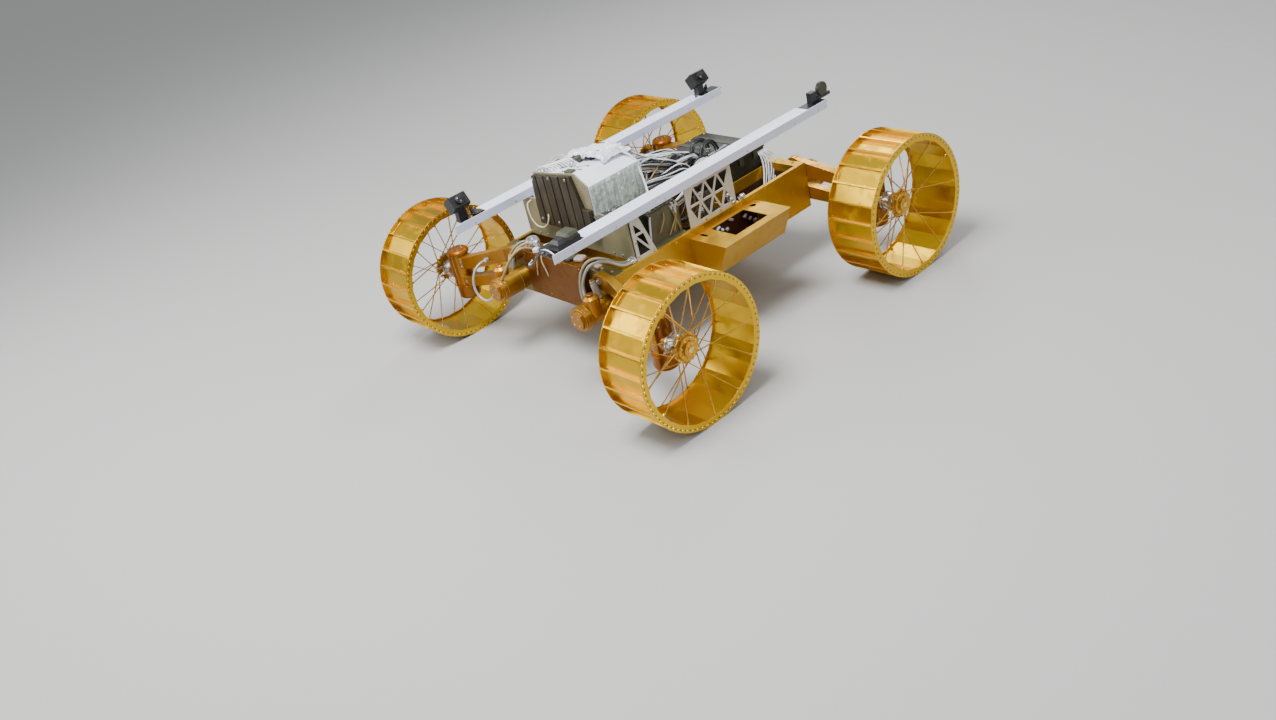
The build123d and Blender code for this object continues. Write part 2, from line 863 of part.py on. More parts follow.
def bracket_plate():
    """The plate under the top sheet of the front left rail's coped end."""
    half = rail_width / 2 - rail_sheet - bracket_gap
    return block((cope_front - bracket_hold, cope_front + bracket_reach), (rail_y - half, rail_y + half),
                 (rail_under - bracket_sheet, rail_under))


def camera_body(place):
    """A camera on the right rail, tilted over its long side to look inwards and up."""
    body = Box(camera_length, camera_width, camera_height)
    body = fillet(body.edges().filter_by(Axis.X), camera_edge)
    lens = Plane.XZ * Circle(lens_radius)
    body += Pos(0, camera_width / 2 + lens_length, 0) * extrude(lens, amount=2 * lens_length)
    return Pos(place, -rail_y, rail_top + camera_centre_height) * Rot(camera_tilt, 0, 0) * body


def camera_bracket(end, place):
    """A bracket of the right rail, whose pedestal is cut to cradle its camera."""
    half = pedestal_width / 2
    pedestal = block((place - pedestal_length / 2, place + pedestal_length / 2), (-rail_y - half, -rail_y + half),
                     (rail_under - bracket_sheet, rail_top + pedestal_height))
    return to_corner(bracket_plate(), end, -1) + (pedestal - camera_body(place))


def low_unit():
    """The flat unit on the front left bracket."""
    half = low_unit_half_width
    unit = block((low_unit_rear, low_unit_rear + low_unit_length), (rail_y - half, rail_y + half),
                 (rail_under, rail_top + low_unit_height))
    unit = chamfer(unit.edges().group_by(Axis.Z)[-1], low_unit_chamfer)
    return bracket_plate() + unit


def antenna():
    """The upright disc on an arm over the rear left bracket."""
    half = pedestal_width / 2
    post_front = -cope_front - pedestal_length
    post = block((post_front - pedestal_length, post_front), (rail_y - half, rail_y + half),
                 (rail_under - bracket_sheet, rail_top + pedestal_height))
    half = antenna_arm_half_width
    low = rail_top + antenna_arm_height - antenna_arm_thickness
    arm_piece = block((antenna_arm_end, post_front), (rail_y - half, rail_y + half), (low, low + antenna_arm_thickness))
    disc = Plane.XZ * Pos(antenna_place, rail_top + antenna_height) * Circle(antenna_radius)
    disc = Pos(0, rail_y + antenna_thickness / 2, 0) * extrude(disc, amount=antenna_thickness)
    return to_corner(bracket_plate(), -1, 1) + post + arm_piece + disc


# Pieces of the four corners
for piece_name, piece in (("wheel_drum", wheel_drum()), ("wheel_hub", wheel_hub()),
                          ("drive_motor", drive_motor()), ("knuckle", knuckle())):
    for end_name, end in ENDS:
        for side_name, side in SIDES:
            write(to_corner(piece, end, side), f"{piece_name}_{end_name}_{side_name}")

# Pieces that share a node, one solid at each corner or side
for end_name, end in ENDS:
    for piece_name, piece in (("upper_arms", upper_arm()), ("lower_arms", lower_arm())):
        pair = [to_corner(piece, end, side) for side_name, side in SIDES]
        write(Compound(children=pair), f"{piece_name}_{end_name}")
for piece_name, piece in (("steering_actuators", steering_actuator()), ("lift_actuators", lift_actuator())):
    four = [to_corner(piece, end, side) for end_name, end in ENDS for side_name, side in SIDES]
    write(Compound(children=four), piece_name)
brackets = [camera_bracket(1, front_camera_place), camera_bracket(-1, rear_camera_place), low_unit(), antenna()]
write(Compound(children=brackets), "camera_brackets")
write(Compound(children=[camera_body(place) for place in (front_camera_place, rear_camera_place)]), "cameras")

# Pieces of the body's two sides
for side_name, side in SIDES:
    write(to_side(side_wall(), side), f"side_wall_{side_name}")
    write(to_side(side_box(), side), f"side_box_{side_name}")
    write(to_side(mid_truss(), side), f"mid_truss_{side_name}")
    write(to_side(front_gusset(), side), f"front_gusset_{side_name}")
    # Both rails are the same piece, with the web on its left
    write(Pos(0, side * rail_y, 0) * rail(), f"rail_{side_name}")

# Pieces on the middle line
write(tub_floor(), "tub_floor")
write(front_beam(), "front_beam")
write(rear_beam(), "rear_beam")
write(tub_dividers(), "tub_dividers")
write(front_bulkhead(), "front_bulkhead")
write(equipment_deck(), "equipment_deck")
write(avionics_base(), "avionics_base")
write(electronics_box(), "electronics_box")
write(heat_sink(), "heat_sink")
write(battery_box(), "battery_box")
write(power_unit(), "power_unit")
write(wire_harness(), "wire_harness")
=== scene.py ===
"""Looks of the lunar rover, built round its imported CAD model. +X forward, +Y left, +Z up.

Places and sizes are in millimetres, which metres() turns into Blender's metres. Camera, floor, lamps and
materials are in metres.
"""

import json
import math
import random

import bmesh
import bpy
from mathutils import Matrix, Vector, noise


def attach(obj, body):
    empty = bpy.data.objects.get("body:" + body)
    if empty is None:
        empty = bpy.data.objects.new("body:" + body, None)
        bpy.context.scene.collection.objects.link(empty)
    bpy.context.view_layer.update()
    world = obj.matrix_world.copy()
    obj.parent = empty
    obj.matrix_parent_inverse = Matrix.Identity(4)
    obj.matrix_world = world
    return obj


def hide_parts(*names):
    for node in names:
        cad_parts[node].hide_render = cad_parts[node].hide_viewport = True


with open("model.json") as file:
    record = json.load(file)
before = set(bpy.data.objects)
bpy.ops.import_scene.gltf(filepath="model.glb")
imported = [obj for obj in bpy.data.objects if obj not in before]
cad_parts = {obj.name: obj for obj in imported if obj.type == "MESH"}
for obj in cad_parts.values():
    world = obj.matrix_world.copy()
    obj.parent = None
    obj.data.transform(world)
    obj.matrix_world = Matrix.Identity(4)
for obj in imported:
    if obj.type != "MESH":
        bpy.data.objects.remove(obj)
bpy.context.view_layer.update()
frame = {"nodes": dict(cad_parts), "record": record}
draw = random.Random(7)

BOTH = (1, -1)
CORNERS = [(f"{end}_{side}", sx, sy) for end, sx in (("front", 1), ("rear", -1))
           for side, sy in (("left", 1), ("right", -1))]
UP = (0, 0, 1)
FORWARD = (1, 0, 0)

# Places that the CAD model sets
WHEEL_X = 535
WHEEL_Y = 635
KINGPIN_Y = 545
AXLE_Z = 250
WHEEL_HALF_WIDTH = 93.5
PLATES = 24
RING_STUDS = 72
LUG_Y = 503
LIFT_Y = 230
LIFT_Z = 272
TUB_HALF_LENGTH = 470
TUB_HALF_WIDTH = 300
TUB_TOP = 382
SIDE_BOX_TOP = 355
TRUSS_FACE = 291.5
RAIL_Y = 269
RAIL_TOP = 559
BULKHEAD_FACE = 364
BOX_REAR = 145
BOX_FRONT = 375
BOX_LEFT = 134
BOX_TOP = 662
BOX_BEVEL_Y = 77


def metres(place):
    return Vector([value / 1000 for value in place])


def add_object(name, data):
    made = bpy.data.objects.new(name, data)
    bpy.context.scene.collection.objects.link(made)
    return made


# Camera

CAMERA_PLACE = Vector((2.504, 3.143, 2.039))
CAMERA_FORWARD = Vector((-0.50752, -0.70737, -0.49198))
CAMERA_UP = Vector((-0.47664, -0.24518, 0.84422))
LENS_MM = 33.82
SENSOR_MM = 36.0


def make_camera():
    data = bpy.data.cameras.new("camera")
    data.lens = LENS_MM
    data.sensor_width = SENSOR_MM
    camera = add_object("camera", data)
    right = CAMERA_FORWARD.cross(CAMERA_UP).normalized()
    up = right.cross(CAMERA_FORWARD).normalized()
    turn = Matrix((right, up, -CAMERA_FORWARD.normalized())).transposed()
    camera.matrix_world = Matrix.Translation(CAMERA_PLACE) @ turn.to_4x4()
    bpy.context.scene.camera = camera


# Stage and light

FLOOR_HALF = 40
FLOOR_COLOUR = (0.45, 0.45, 0.44)
FLOOR_BOUNCE = (0.20, 0.19, 0.18)
WORLD_HORIZON = (0.30, 0.31, 0.32, 1)
WORLD_ZENITH = (0.95, 0.98, 1.0, 1)
WORLD_STRENGTH = 0.68

# Name, place, target, size, watts
LAMPS = (
    ("key", (1.6, 0.6, 4.4), (0.1, 0.1, 0.3), 1.8, 350),
    ("sheen", (2.7, -2.4, 2.6), (0.4, 0.3, 0.3), 2.4, 95),
    ("fill", (-1.2, 4.2, 2.4), (-0.1, 0.3, 0.3), 2.2, 56),
    ("rim", (-3.2, -2.0, 3.4), (-0.2, 0, 0.4), 1.8, 85),
)


def make_floor():
    """A floor that the camera sees pale, also in the wheels and through glass, and that throws less light back."""
    mesh = bpy.data.meshes.new("floor")
    corners = [(x * FLOOR_HALF, y * FLOOR_HALF, 0) for x, y in ((-1, -1), (1, -1), (1, 1), (-1, 1))]
    mesh.from_pydata(corners, [], [(0, 1, 2, 3)])
    shader = Shader(roughness=0.85)
    rays = shader.node("LightPath").outputs
    seen = rays["Is Camera Ray"]
    for kind in ("Is Glossy Ray", "Is Transmission Ray"):
        seen = shader.maths("MAXIMUM", seen, rays[kind])
    shader.put(shader.bsdf.inputs["Base Color"], shader.mix(seen, FLOOR_BOUNCE, FLOOR_COLOUR))
    shader.material.name = "floor"
    mesh.materials.append(shader.material)
    add_object("floor", mesh)


def make_world():
    world = bpy.data.worlds.new("world")
    bpy.context.scene.world = world
    world.use_nodes = True
    nodes, links = world.node_tree.nodes, world.node_tree.links
    place, split, ramp = (nodes.new(f"ShaderNode{kind}") for kind in ("TexCoord", "SeparateXYZ", "ValToRGB"))
    for end, share, colour in zip(ramp.color_ramp.elements, (0.0, 0.85), (WORLD_HORIZON, WORLD_ZENITH)):
        end.position = share
        end.color = colour
    background = nodes["Background"]
    background.inputs["Strength"].default_value = WORLD_STRENGTH
    links.new(place.outputs["Generated"], split.inputs[0])
    links.new(split.outputs["Z"], ramp.inputs["Fac"])
    links.new(ramp.outputs["Color"], background.inputs["Color"])


def make_lamps():
    for name, place, target, size, watts in LAMPS:
        data = bpy.data.lights.new(name, "AREA")
        data.size = size
        data.energy = watts
        lamp = add_object(name, data)
        lamp.location = place
        lamp.rotation_euler = (Vector(target) - Vector(place)).to_track_quat("-Z", "Y").to_euler()


# Materials

class Shader:
    """A material's nodes, with the few kinds of link that the finishes here share."""

    def __init__(self, metallic=0.0, roughness=0.5, coat=0.0):
        self.material = bpy.data.materials.new("finish")
        self.material.use_nodes = True
        self.tree = self.material.node_tree
        self.bsdf = self.tree.nodes["Principled BSDF"]
        for name, value in (("Metallic", metallic), ("Roughness", roughness), ("Coat Weight", coat)):
            self.put(self.bsdf.inputs[name], value)
        self.place = self.node("TexCoord").outputs["Object"]

    def put(self, socket, value):
        """Another node's output, a number, a vector or a colour into a socket."""
        if isinstance(value, bpy.types.NodeSocket):
            self.tree.links.new(value, socket)
        else:
            socket.default_value = (*value, 1) if socket.type == "RGBA" else value

    def node(self, kind, inputs=None, **settings):
        made = self.tree.nodes.new(f"ShaderNode{kind}")
        for name, value in settings.items():
            setattr(made, name, value)
        for name, value in (inputs or {}).items():
            self.put(made.inputs[name], value)
        return made

    def stretched(self, scale):
        """The place with each axis scaled, for brushed and streaked patterns."""
        return self.node("Mapping", {"Vector": self.place, "Scale": scale}).outputs["Vector"]

    def noise(self, scale, detail=4.0, place=None, distortion=0.0):
        inputs = {"Vector": place or self.place, "Scale": scale, "Detail": detail, "Distortion": distortion}
        return self.node("TexNoise", inputs).outputs["Fac"]

    def spread(self, value, low, high, to_low=0.0, to_high=1.0):
        """A value between low and high as one between to_low and to_high."""
        inputs = {"Value": value, "From Min": low, "From Max": high, "To Min": to_low, "To Max": to_high}
        return self.node("MapRange", inputs).outputs["Result"]

    def maths(self, operation, first, second):
        return self.node("Math", {0: first, 1: second}, operation=operation).outputs[0]

    def mix(self, amount, first, second):
        """Colour first where amount is 0 and second where it is 1."""
        return self.node("Mix", {0: amount, 6: first, 7: second}, data_type="RGBA").outputs[2]

    def layer(self, colour, paint, mask, share):
        """Paint over a colour, as thick as a mask times a share."""
        return self.mix(self.maths("MULTIPLY", mask, share), colour, paint)

    def edges(self, radius):
        """The rounded normal of nearby edges, and how near an edge is, from 0 to 1."""
        rounded = self.node("Bevel", {"Radius": radius}, samples=4).outputs["Normal"]
        flat = self.node("NewGeometry").outputs["Normal"]
        dot = self.node("VectorMath", {0: rounded, 1: flat}, operation="DOT_PRODUCT")
        return rounded, self.spread(dot.outputs["Value"], 0.995, 0.86)

    def axis(self, vector, letter):
        return self.node("SeparateXYZ", {0: vector}).outputs[letter]

    def past(self, letter, limit):
        """1 where a coordinate is past a limit, 0 before it. A bar before the letter takes both sides alike."""
        value = self.axis(self.place, letter[-1])
        if letter[0] == "|":
            value = self.maths("ABSOLUTE", value, 0)
        return self.spread(value, limit - 0.001, limit + 0.001)

    def up_facing(self):
        """1 on faces that look up, 0 on upright and lower ones."""
        return self.spread(self.axis(self.node("NewGeometry").outputs["Normal"], "Z"), 0.35, 0.75)

    def finish(self, colour, rough, height, strength, distance=0.0005, normal=None):
        """The material, with its colour, its roughness and a bump of some height."""
        bump = self.node("Bump", {"Height": height, "Strength": strength, "Distance": distance})
        if normal:
            self.put(bump.inputs["Normal"], normal)
        for name, value in (("Base Color", colour), ("Roughness", rough), ("Normal", bump.outputs["Normal"])):
            self.put(self.bsdf.inputs[name], value)
        return self.material


def worn(base, dark, rubbed, metallic, rough, patch=5.0, edge=0.0015, grain=90.0, streak=(1, 1, 1), painted_shade=None,
         zone=None, clouding=0.6, smudging=0.3, relief=0.10):
    """Coated sheet metal: cloudy colour, smudges, fine grain, and edges rubbed to a lighter tone.

    The painted shade colour is a deeper tone painted on faces that don't look up, standing in for light from above.
    Zone is an axis, a limit and the colour of what lies past that limit, such as another part's finish on the same
    node.
    """
    shader = Shader(metallic)
    clouds = shader.spread(shader.noise(patch, 5), 0.36, 0.66)
    smudge = shader.spread(shader.noise(patch * 6, 6, distortion=0.6), 0.48, 0.72)
    normal, edge_amount = shader.edges(edge)
    scuff = shader.spread(shader.noise(patch * 22, 5), 0.40, 0.62)
    # Painted shade: faces that don't look up take the deeper colour, standing in for light that falls from above.
    if painted_shade:
        base = shader.mix(shader.up_facing(), painted_shade, base)
    colour = shader.layer(shader.layer(base, dark, clouds, clouding), dark, smudge, smudging)
    if zone:
        letter, limit, paint = zone
        shade = tuple(0.7 * channel for channel in paint)
        colour = shader.mix(shader.past(letter, limit), colour, shader.mix(clouds, paint, shade))
    colour = shader.layer(colour, rubbed, edge_amount, scuff)
    fine = shader.noise(grain, 3, shader.stretched(streak))
    rough = shader.spread(shader.maths("ADD", fine, smudge), 0.5, 1.5, rough - 0.08, rough + 0.14)
    return shader.finish(colour, rough, fine, relief, normal=normal)


def creased(base, dark, painted_highlight_colour, crease, metallic=0.55, run=(1, 1, 0.5)):
    """Metallised film: fine irregular creases, with painted shade along the folds and painted glints, drawn out
    along one axis by its run.
    """
    shader = Shader(metallic)
    cells = {"Vector": shader.stretched(run), "Scale": crease}
    wrinkles = shader.node("TexVoronoi", cells, feature="DISTANCE_TO_EDGE").outputs["Distance"]
    folds = shader.noise(crease * 0.6, 6, shader.stretched(run), distortion=1.2)
    height = shader.maths("ADD", shader.spread(wrinkles, 0.0, 0.25), folds)
    painted_glint = shader.spread(shader.noise(crease * 2.6, 5, distortion=1.4), 0.55, 0.66)
    # Painted shade: darker along the folds; painted highlight: bright glints layered over it.
    colour = shader.layer(shader.mix(shader.spread(folds, 0.35, 0.65), base, dark), painted_highlight_colour, painted_glint, 0.7)
    return shader.finish(colour, shader.spread(folds, 0.3, 0.7, 0.24, 0.46), height, 0.5, 0.003)


def moulded(base, light, rough, coat=0.0, metallic=0.0):
    """Plastic, rubber or anodised parts with a fine grain and faint handling marks."""
    shader = Shader(metallic, coat=coat)
    marks = shader.spread(shader.noise(18, 5), 0.5, 0.75)
    normal, edge_amount = shader.edges(0.0012)
    colour = shader.layer(shader.layer(base, light, marks, 0.5), light, edge_amount, 0.6)
    fine = shader.noise(160)
    return shader.finish(colour, shader.spread(fine, 0.3, 0.7, rough - 0.1, rough + 0.1), fine, 0.15, normal=normal)


def banded():
    """The heat sink's dark coating, with soft upright lighter bands."""
    shader = Shader(0.35)
    bands = shader.spread(shader.noise(26, 2, shader.stretched((0.1, 1, 0.12))), 0.42, 0.62)
    grime = shader.spread(shader.noise(9, 5), 0.4, 0.65)
    normal, edge_amount = shader.edges(0.003)
    colour = shader.mix(bands, (0.030, 0.021, 0.011), (0.072, 0.054, 0.028))
    colour = shader.layer(colour, (0.032, 0.026, 0.016), grime, 0.5)
    colour = shader.layer(colour, (0.20, 0.16, 0.10), edge_amount, 0.35)
    fine = shader.noise(120, 3, shader.stretched((1, 1, 0.1)))
    return shader.finish(colour, shader.spread(fine, 0.3, 0.7, 0.34, 0.52), fine, 0.12, 0.0006, normal)


def woven(base, dark):
    """Braided sleeve or webbing, with a fine slanted weave."""
    shader = Shader()
    waves = {"Vector": shader.place, "Scale": 160.0, "Distortion": 0.5}
    weave = shader.node("TexWave", waves, wave_type="BANDS", bands_direction="DIAGONAL").outputs["Fac"]
    soil = shader.spread(shader.noise(30, 5), 0.4, 0.7)
    colour = shader.layer(shader.layer(base, dark, weave, 0.35), dark, soil, 0.5)
    return shader.finish(colour, shader.spread(soil, 0, 1, 0.55, 0.8), weave, 0.25)


def make_finishes():
    """One material for each slot of the record, and the finishes of the trim."""
    # Colours given for faces that don't look up are painted shade, darker than each finish's own colour.
    made = dict(
        wheel_gold=worn((0.74, 0.46, 0.014), (0.6, 0.31, 0.008), (0.9, 0.66, 0.16), 1, 0.36, patch=3,
            clouding=0.5, smudging=0.05, relief=0.02),
        hub_gold=worn((0.66, 0.36, 0.03), (0.42, 0.18, 0.012), (0.9, 0.7, 0.3), 0.8, 0.36),
        motor_silver=worn((0.66, 0.64, 0.58), (0.4, 0.37, 0.32), (0.88, 0.86, 0.82), 0.8, 0.3),
        suspension_gold=worn((0.66, 0.37, 0.035), (0.36, 0.15, 0.01), (0.9, 0.64, 0.22), 0.75, 0.38, patch=9,
            painted_shade=(0.4, 0.17, 0.012)),
        knuckle_red=worn((0.48, 0.18, 0.018), (0.25, 0.075, 0.008), (0.85, 0.46, 0.14), 0.7, 0.36, patch=9,
            painted_shade=(0.28, 0.105, 0.01)),
        camera_black=moulded((0.008, 0.008, 0.009), (0.035, 0.035, 0.04), 0.4),
        tub_gold=worn((0.68, 0.41, 0.024), (0.48, 0.25, 0.01), (0.9, 0.68, 0.22), 0.75, 0.42, patch=6,
            clouding=0.45, painted_shade=(0.54, 0.29, 0.014)),
        nose_brown=worn((0.32, 0.14, 0.01), (0.18, 0.068, 0.006), (0.56, 0.32, 0.09), 0.9, 0.46, patch=6,
            painted_shade=(0.15, 0.05, 0.005), zone=("|Y", 0.1592, (0.26, 0.23, 0.11))),
        truss_grey=worn((0.62, 0.59, 0.5), (0.46, 0.42, 0.33), (0.84, 0.82, 0.75), 0.1, 0.45),
        rail_aluminium=worn((0.8, 0.85, 1), (0.72, 0.77, 0.96), (0.96, 0.97, 1), 0.05, 0.3, patch=3, grain=60,
            streak=(0.2, 8, 8), painted_shade=(0.76, 0.8, 1)),
        panel_beige=worn((0.36, 0.33, 0.19), (0.22, 0.2, 0.11), (0.58, 0.55, 0.42), 0.3, 0.46),
        equipment_dark=worn((0.03, 0.029, 0.021), (0.016, 0.015, 0.011), (0.18, 0.17, 0.12), 0.25, 0.42),
        controller_olive=worn((0.12, 0.115, 0.062), (0.07, 0.064, 0.034), (0.3, 0.29, 0.2), 0.25, 0.42, patch=12),
        film_silver=creased((0.56, 0.62, 0.57), (0.34, 0.4, 0.34), (0.94, 0.97, 0.95), 34, 0.25, (1, 1, 0.1)),
        box_panel=worn((0.88, 0.89, 0.99), (0.74, 0.76, 0.9), (0.98, 0.98, 1), 0.05, 0.3, patch=9, clouding=0.4,
            zone=("X", BOX_FRONT / 1000 - 0.0045, (0.3, 0.26, 0.15))),
        heat_sink_dark=banded(),
        fastener=worn((0.52, 0.5, 0.46), (0.25, 0.23, 0.2), (0.85, 0.84, 0.8), 0.85, 0.3, patch=30, edge=0.0005),
        fastener_gold=worn((0.92, 0.62, 0.12), (0.6, 0.32, 0.04), (0.98, 0.82, 0.42), 0.9, 0.24, patch=30,
            edge=0.0005),
        painted_hole_shade=moulded((0.045, 0.02, 0.006), (0.1, 0.05, 0.02), 0.6),
        painted_shade_maroon=worn((0.085, 0.026, 0.014), (0.04, 0.012, 0.008), (0.2, 0.09, 0.05), 0.3, 0.5),
        connector=worn((0.66, 0.66, 0.68), (0.3, 0.3, 0.31), (0.92, 0.92, 0.92), 0.75, 0.28, patch=25,
            edge=0.0006),
        connector_dark=worn((0.1, 0.1, 0.11), (0.03, 0.03, 0.035), (0.5, 0.5, 0.5), 0.6, 0.32, patch=25,
            edge=0.0006),
        plug_white=moulded((0.8, 0.8, 0.83), (0.94, 0.94, 0.96), 0.45),
        plug_pink=moulded((0.3, 0.23, 0.22), (0.5, 0.42, 0.4), 0.5),
        plug_olive=moulded((0.036, 0.04, 0.02), (0.085, 0.092, 0.05), 0.5),
        cable_white=moulded((0.78, 0.79, 0.83), (0.92, 0.93, 0.96), 0.4),
        cable_silver=moulded((0.46, 0.45, 0.41), (0.72, 0.71, 0.67), 0.34, metallic=0.35),
        cable_beige=moulded((0.33, 0.29, 0.2), (0.54, 0.5, 0.4), 0.44),
        cable_cream=moulded((0.62, 0.55, 0.38), (0.76, 0.7, 0.54), 0.48),
        cable_tan=moulded((0.36, 0.25, 0.11), (0.56, 0.44, 0.26), 0.48),
        cable_black=moulded((0.01, 0.01, 0.011), (0.04, 0.04, 0.04), 0.36),
        cable_grey=woven((0.46, 0.47, 0.46), (0.2, 0.2, 0.2)),
        glass=moulded((0.006, 0.008, 0.014), (0.02, 0.02, 0.04), 0.12, coat=1),
        harness_sleeve=woven((0.3, 0.31, 0.3), (0.1, 0.1, 0.1)),
        film_white=creased((0.88, 0.89, 0.97), (0.52, 0.54, 0.62), (1, 1, 1), 40, 0.15),
        film_dark=creased((0.1, 0.11, 0.1), (0.04, 0.045, 0.04), (0.45, 0.47, 0.46), 40),
    )
    for name, material in made.items():
        material.name = name
    return made


NODE_FINISHES = {"electronics_box": "box_panel", "equipment_deck": "controller_olive"}
NODE_FINISHES.update({f"knuckle_{corner}": "knuckle_red" for corner, sx, sy in CORNERS})


def dress_cad_nodes():
    """Gives every CAD node the material of its slot, or its own variant of that."""
    for row in frame["record"]["subparts"]:
        materials = frame["nodes"][row["node"]].data.materials
        materials.clear()
        materials.append(finishes[NODE_FINISHES.get(row["node"], row["material_slot"])])


# Pieces

PLUG_PROFILE = ((1.15, 0), (1.15, 0.12), (1, 0.14), (1, 0.30), (1.18, 0.32), (1.18, 0.62), (0.95, 0.66),
                (0.62, 0.90), (0.50, 1))


def axis_turn(axis):
    """The rotation that takes +Z to an axis."""
    return Vector(axis).to_track_quat("Z", "Y").to_matrix()


def turns(count, start=0.0):
    """The angles of equal steps round a circle. Start is the first one's share of a step."""
    return [2 * math.pi * (index + start) / count for index in range(count)]


def ring(radius, angle, along=0.0):
    """A point round the Z axis."""
    return Vector((radius * math.cos(angle), radius * math.sin(angle), along))


def band(radius, width, lip=1.8):
    """The profile of a raised band."""
    return [(radius - lip, 0), (radius, 1), (radius, width - 1), (radius - lip, width)]


class Piece:
    """A mesh that gathers many small forms of one finish, riding on one body."""

    def __init__(self, name, finish, body="chassis", in_slot=False):
        self.name = name
        self.finish = finish
        self.body = body
        self.in_slot = in_slot
        self.points = []
        self.faces = []

    def add(self, points, faces):
        base = len(self.points)
        self.points.extend(points)
        self.faces.extend(tuple(base + index for index in face) for face in faces)
        return self

    def lathe(self, place, axis, profile, sides=10):
        """A turned form on an axis. Profile rows are the radius and the distance along the axis."""
        turn = axis_turn(axis)
        points = [metres(place) + turn @ ring(radius / 1000, angle, along / 1000)
                  for radius, along in profile for angle in turns(sides)]
        last = (len(profile) - 1) * sides
        faces = [tuple(reversed(range(sides))), tuple(range(last, last + sides))]
        for row in range(0, last, sides):
            for index in range(sides):
                after = (index + 1) % sides
                faces.append((row + index, row + after, row + sides + after, row + sides + index))
        return self.add(points, faces)

    def bolts(self, radius, axis, places):
        """Hexagon heads with a chamfered top, on washers."""
        for place in places:
            self.lathe(place, axis, [(radius * 1.45, 0), (radius * 1.45, radius * 0.22)], 12)
            self.lathe(place, axis, [(radius, 0), (radius, radius * 0.8), (radius * 0.8, radius)], 6)
        return self

    def rivets(self, radius, axis, places, height=None):
        height = height or radius * 0.6
        for place in places:
            self.lathe(place, axis, [(radius, 0), (radius * 0.85, height * 0.6), (radius * 0.35, height)], 8)
        return self

    def plugs(self, *rows):
        """Round connectors with a flange, a stepped sleeve and a tapered end. Rows: place, axis, radius, length."""
        for place, axis, radius, length in rows:
            self.lathe(place, axis, [(radius * across, length * along) for across, along in PLUG_PROFILE], 14)
        return self

    def blocks(self, *rows, axis="Z"):
        """Boxes with bevelled edges. Rows: x, y and z of the middle, three sizes, bevel, turn about the axis."""
        for *numbers, bevel, angle in rows:
            turn = Matrix.Rotation(angle, 3, axis)
            bm = bmesh.new()
            for signs in [(a, b, c) for a in (-1, 1) for b in (-1, 1) for c in (-1, 1)]:
                for kept in range(3):
                    corner = [sign * (side / 2 if i == kept else side / 2 - bevel)
                              for i, (sign, side) in enumerate(zip(signs, numbers[3:]))]
                    bm.verts.new(metres(numbers[:3]) + turn @ metres(corner))
            bmesh.ops.convex_hull(bm, input=bm.verts)
            bmesh.ops.dissolve_limit(bm, angle_limit=0.01, verts=bm.verts, edges=bm.edges)
            bm.verts.index_update()
            self.add([v.co.copy() for v in bm.verts], [tuple(v.index for v in f.verts) for f in bm.faces])
            bm.free()
        return self

    def make(self):
        mesh = bpy.data.meshes.new(self.name)
        mesh.from_pydata([tuple(p) for p in self.points], [], self.faces)
        mesh.validate()
        mesh.shade_smooth()
        mesh.set_sharp_from_angle(angle=math.radians(32))
        mesh.materials.append(finishes[self.finish])
        made = add_object(self.name, mesh)
        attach(made, self.body)


def bundle(name, finish, radius, routes, order=4, roundness=1):
    """Round cables along smooth lines, one spline for each route, riding on the chassis."""
    curve = bpy.data.curves.new(name, "CURVE")
    curve.dimensions = "3D"
    for route in routes:
        spline = curve.splines.new("NURBS")
        spline.points.add(len(route) - 1)
        for point, place in zip(spline.points, route):
            point.co = (*metres(place), 1)
            point.radius = radius / 1000
        spline.order_u = min(order, len(route))
        spline.use_endpoint_u = True
        spline.resolution_u = 6
    curve.bevel_depth = 1
    curve.bevel_resolution = roundness
    curve.use_fill_caps = True
    made = add_object(name, curve)
    curve.materials.append(finishes[finish])
    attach(made, "chassis")
    return made


def line_length(made):
    """The length of a curve's own line, in metres."""
    made.data.bevel_depth = 0
    mesh = bpy.data.meshes.new_from_object(made)
    total = sum((mesh.vertices[a].co - mesh.vertices[b].co).length for a, b in (e.vertices for e in mesh.edges))
    bpy.data.meshes.remove(mesh)
    made.data.bevel_depth = 1
    return total


def cord(name, finish, diameter, stiffness, route):
    """A loose cable or hose, whose line length is measured but not kept."""
    made = bundle(name, finish, diameter / 2, [route], 3, 3)
    line_length(made)


# Wheels, steering and suspension

def round_axle(sx, sy, radius, angle, outwards):
    """A point on a wheel, by its radius, angle and distance outwards from the wheel's middle plane."""
    return (sx * WHEEL_X + radius * math.cos(angle), sy * (WHEEL_Y + outwards), AXLE_Z + radius * math.sin(angle))


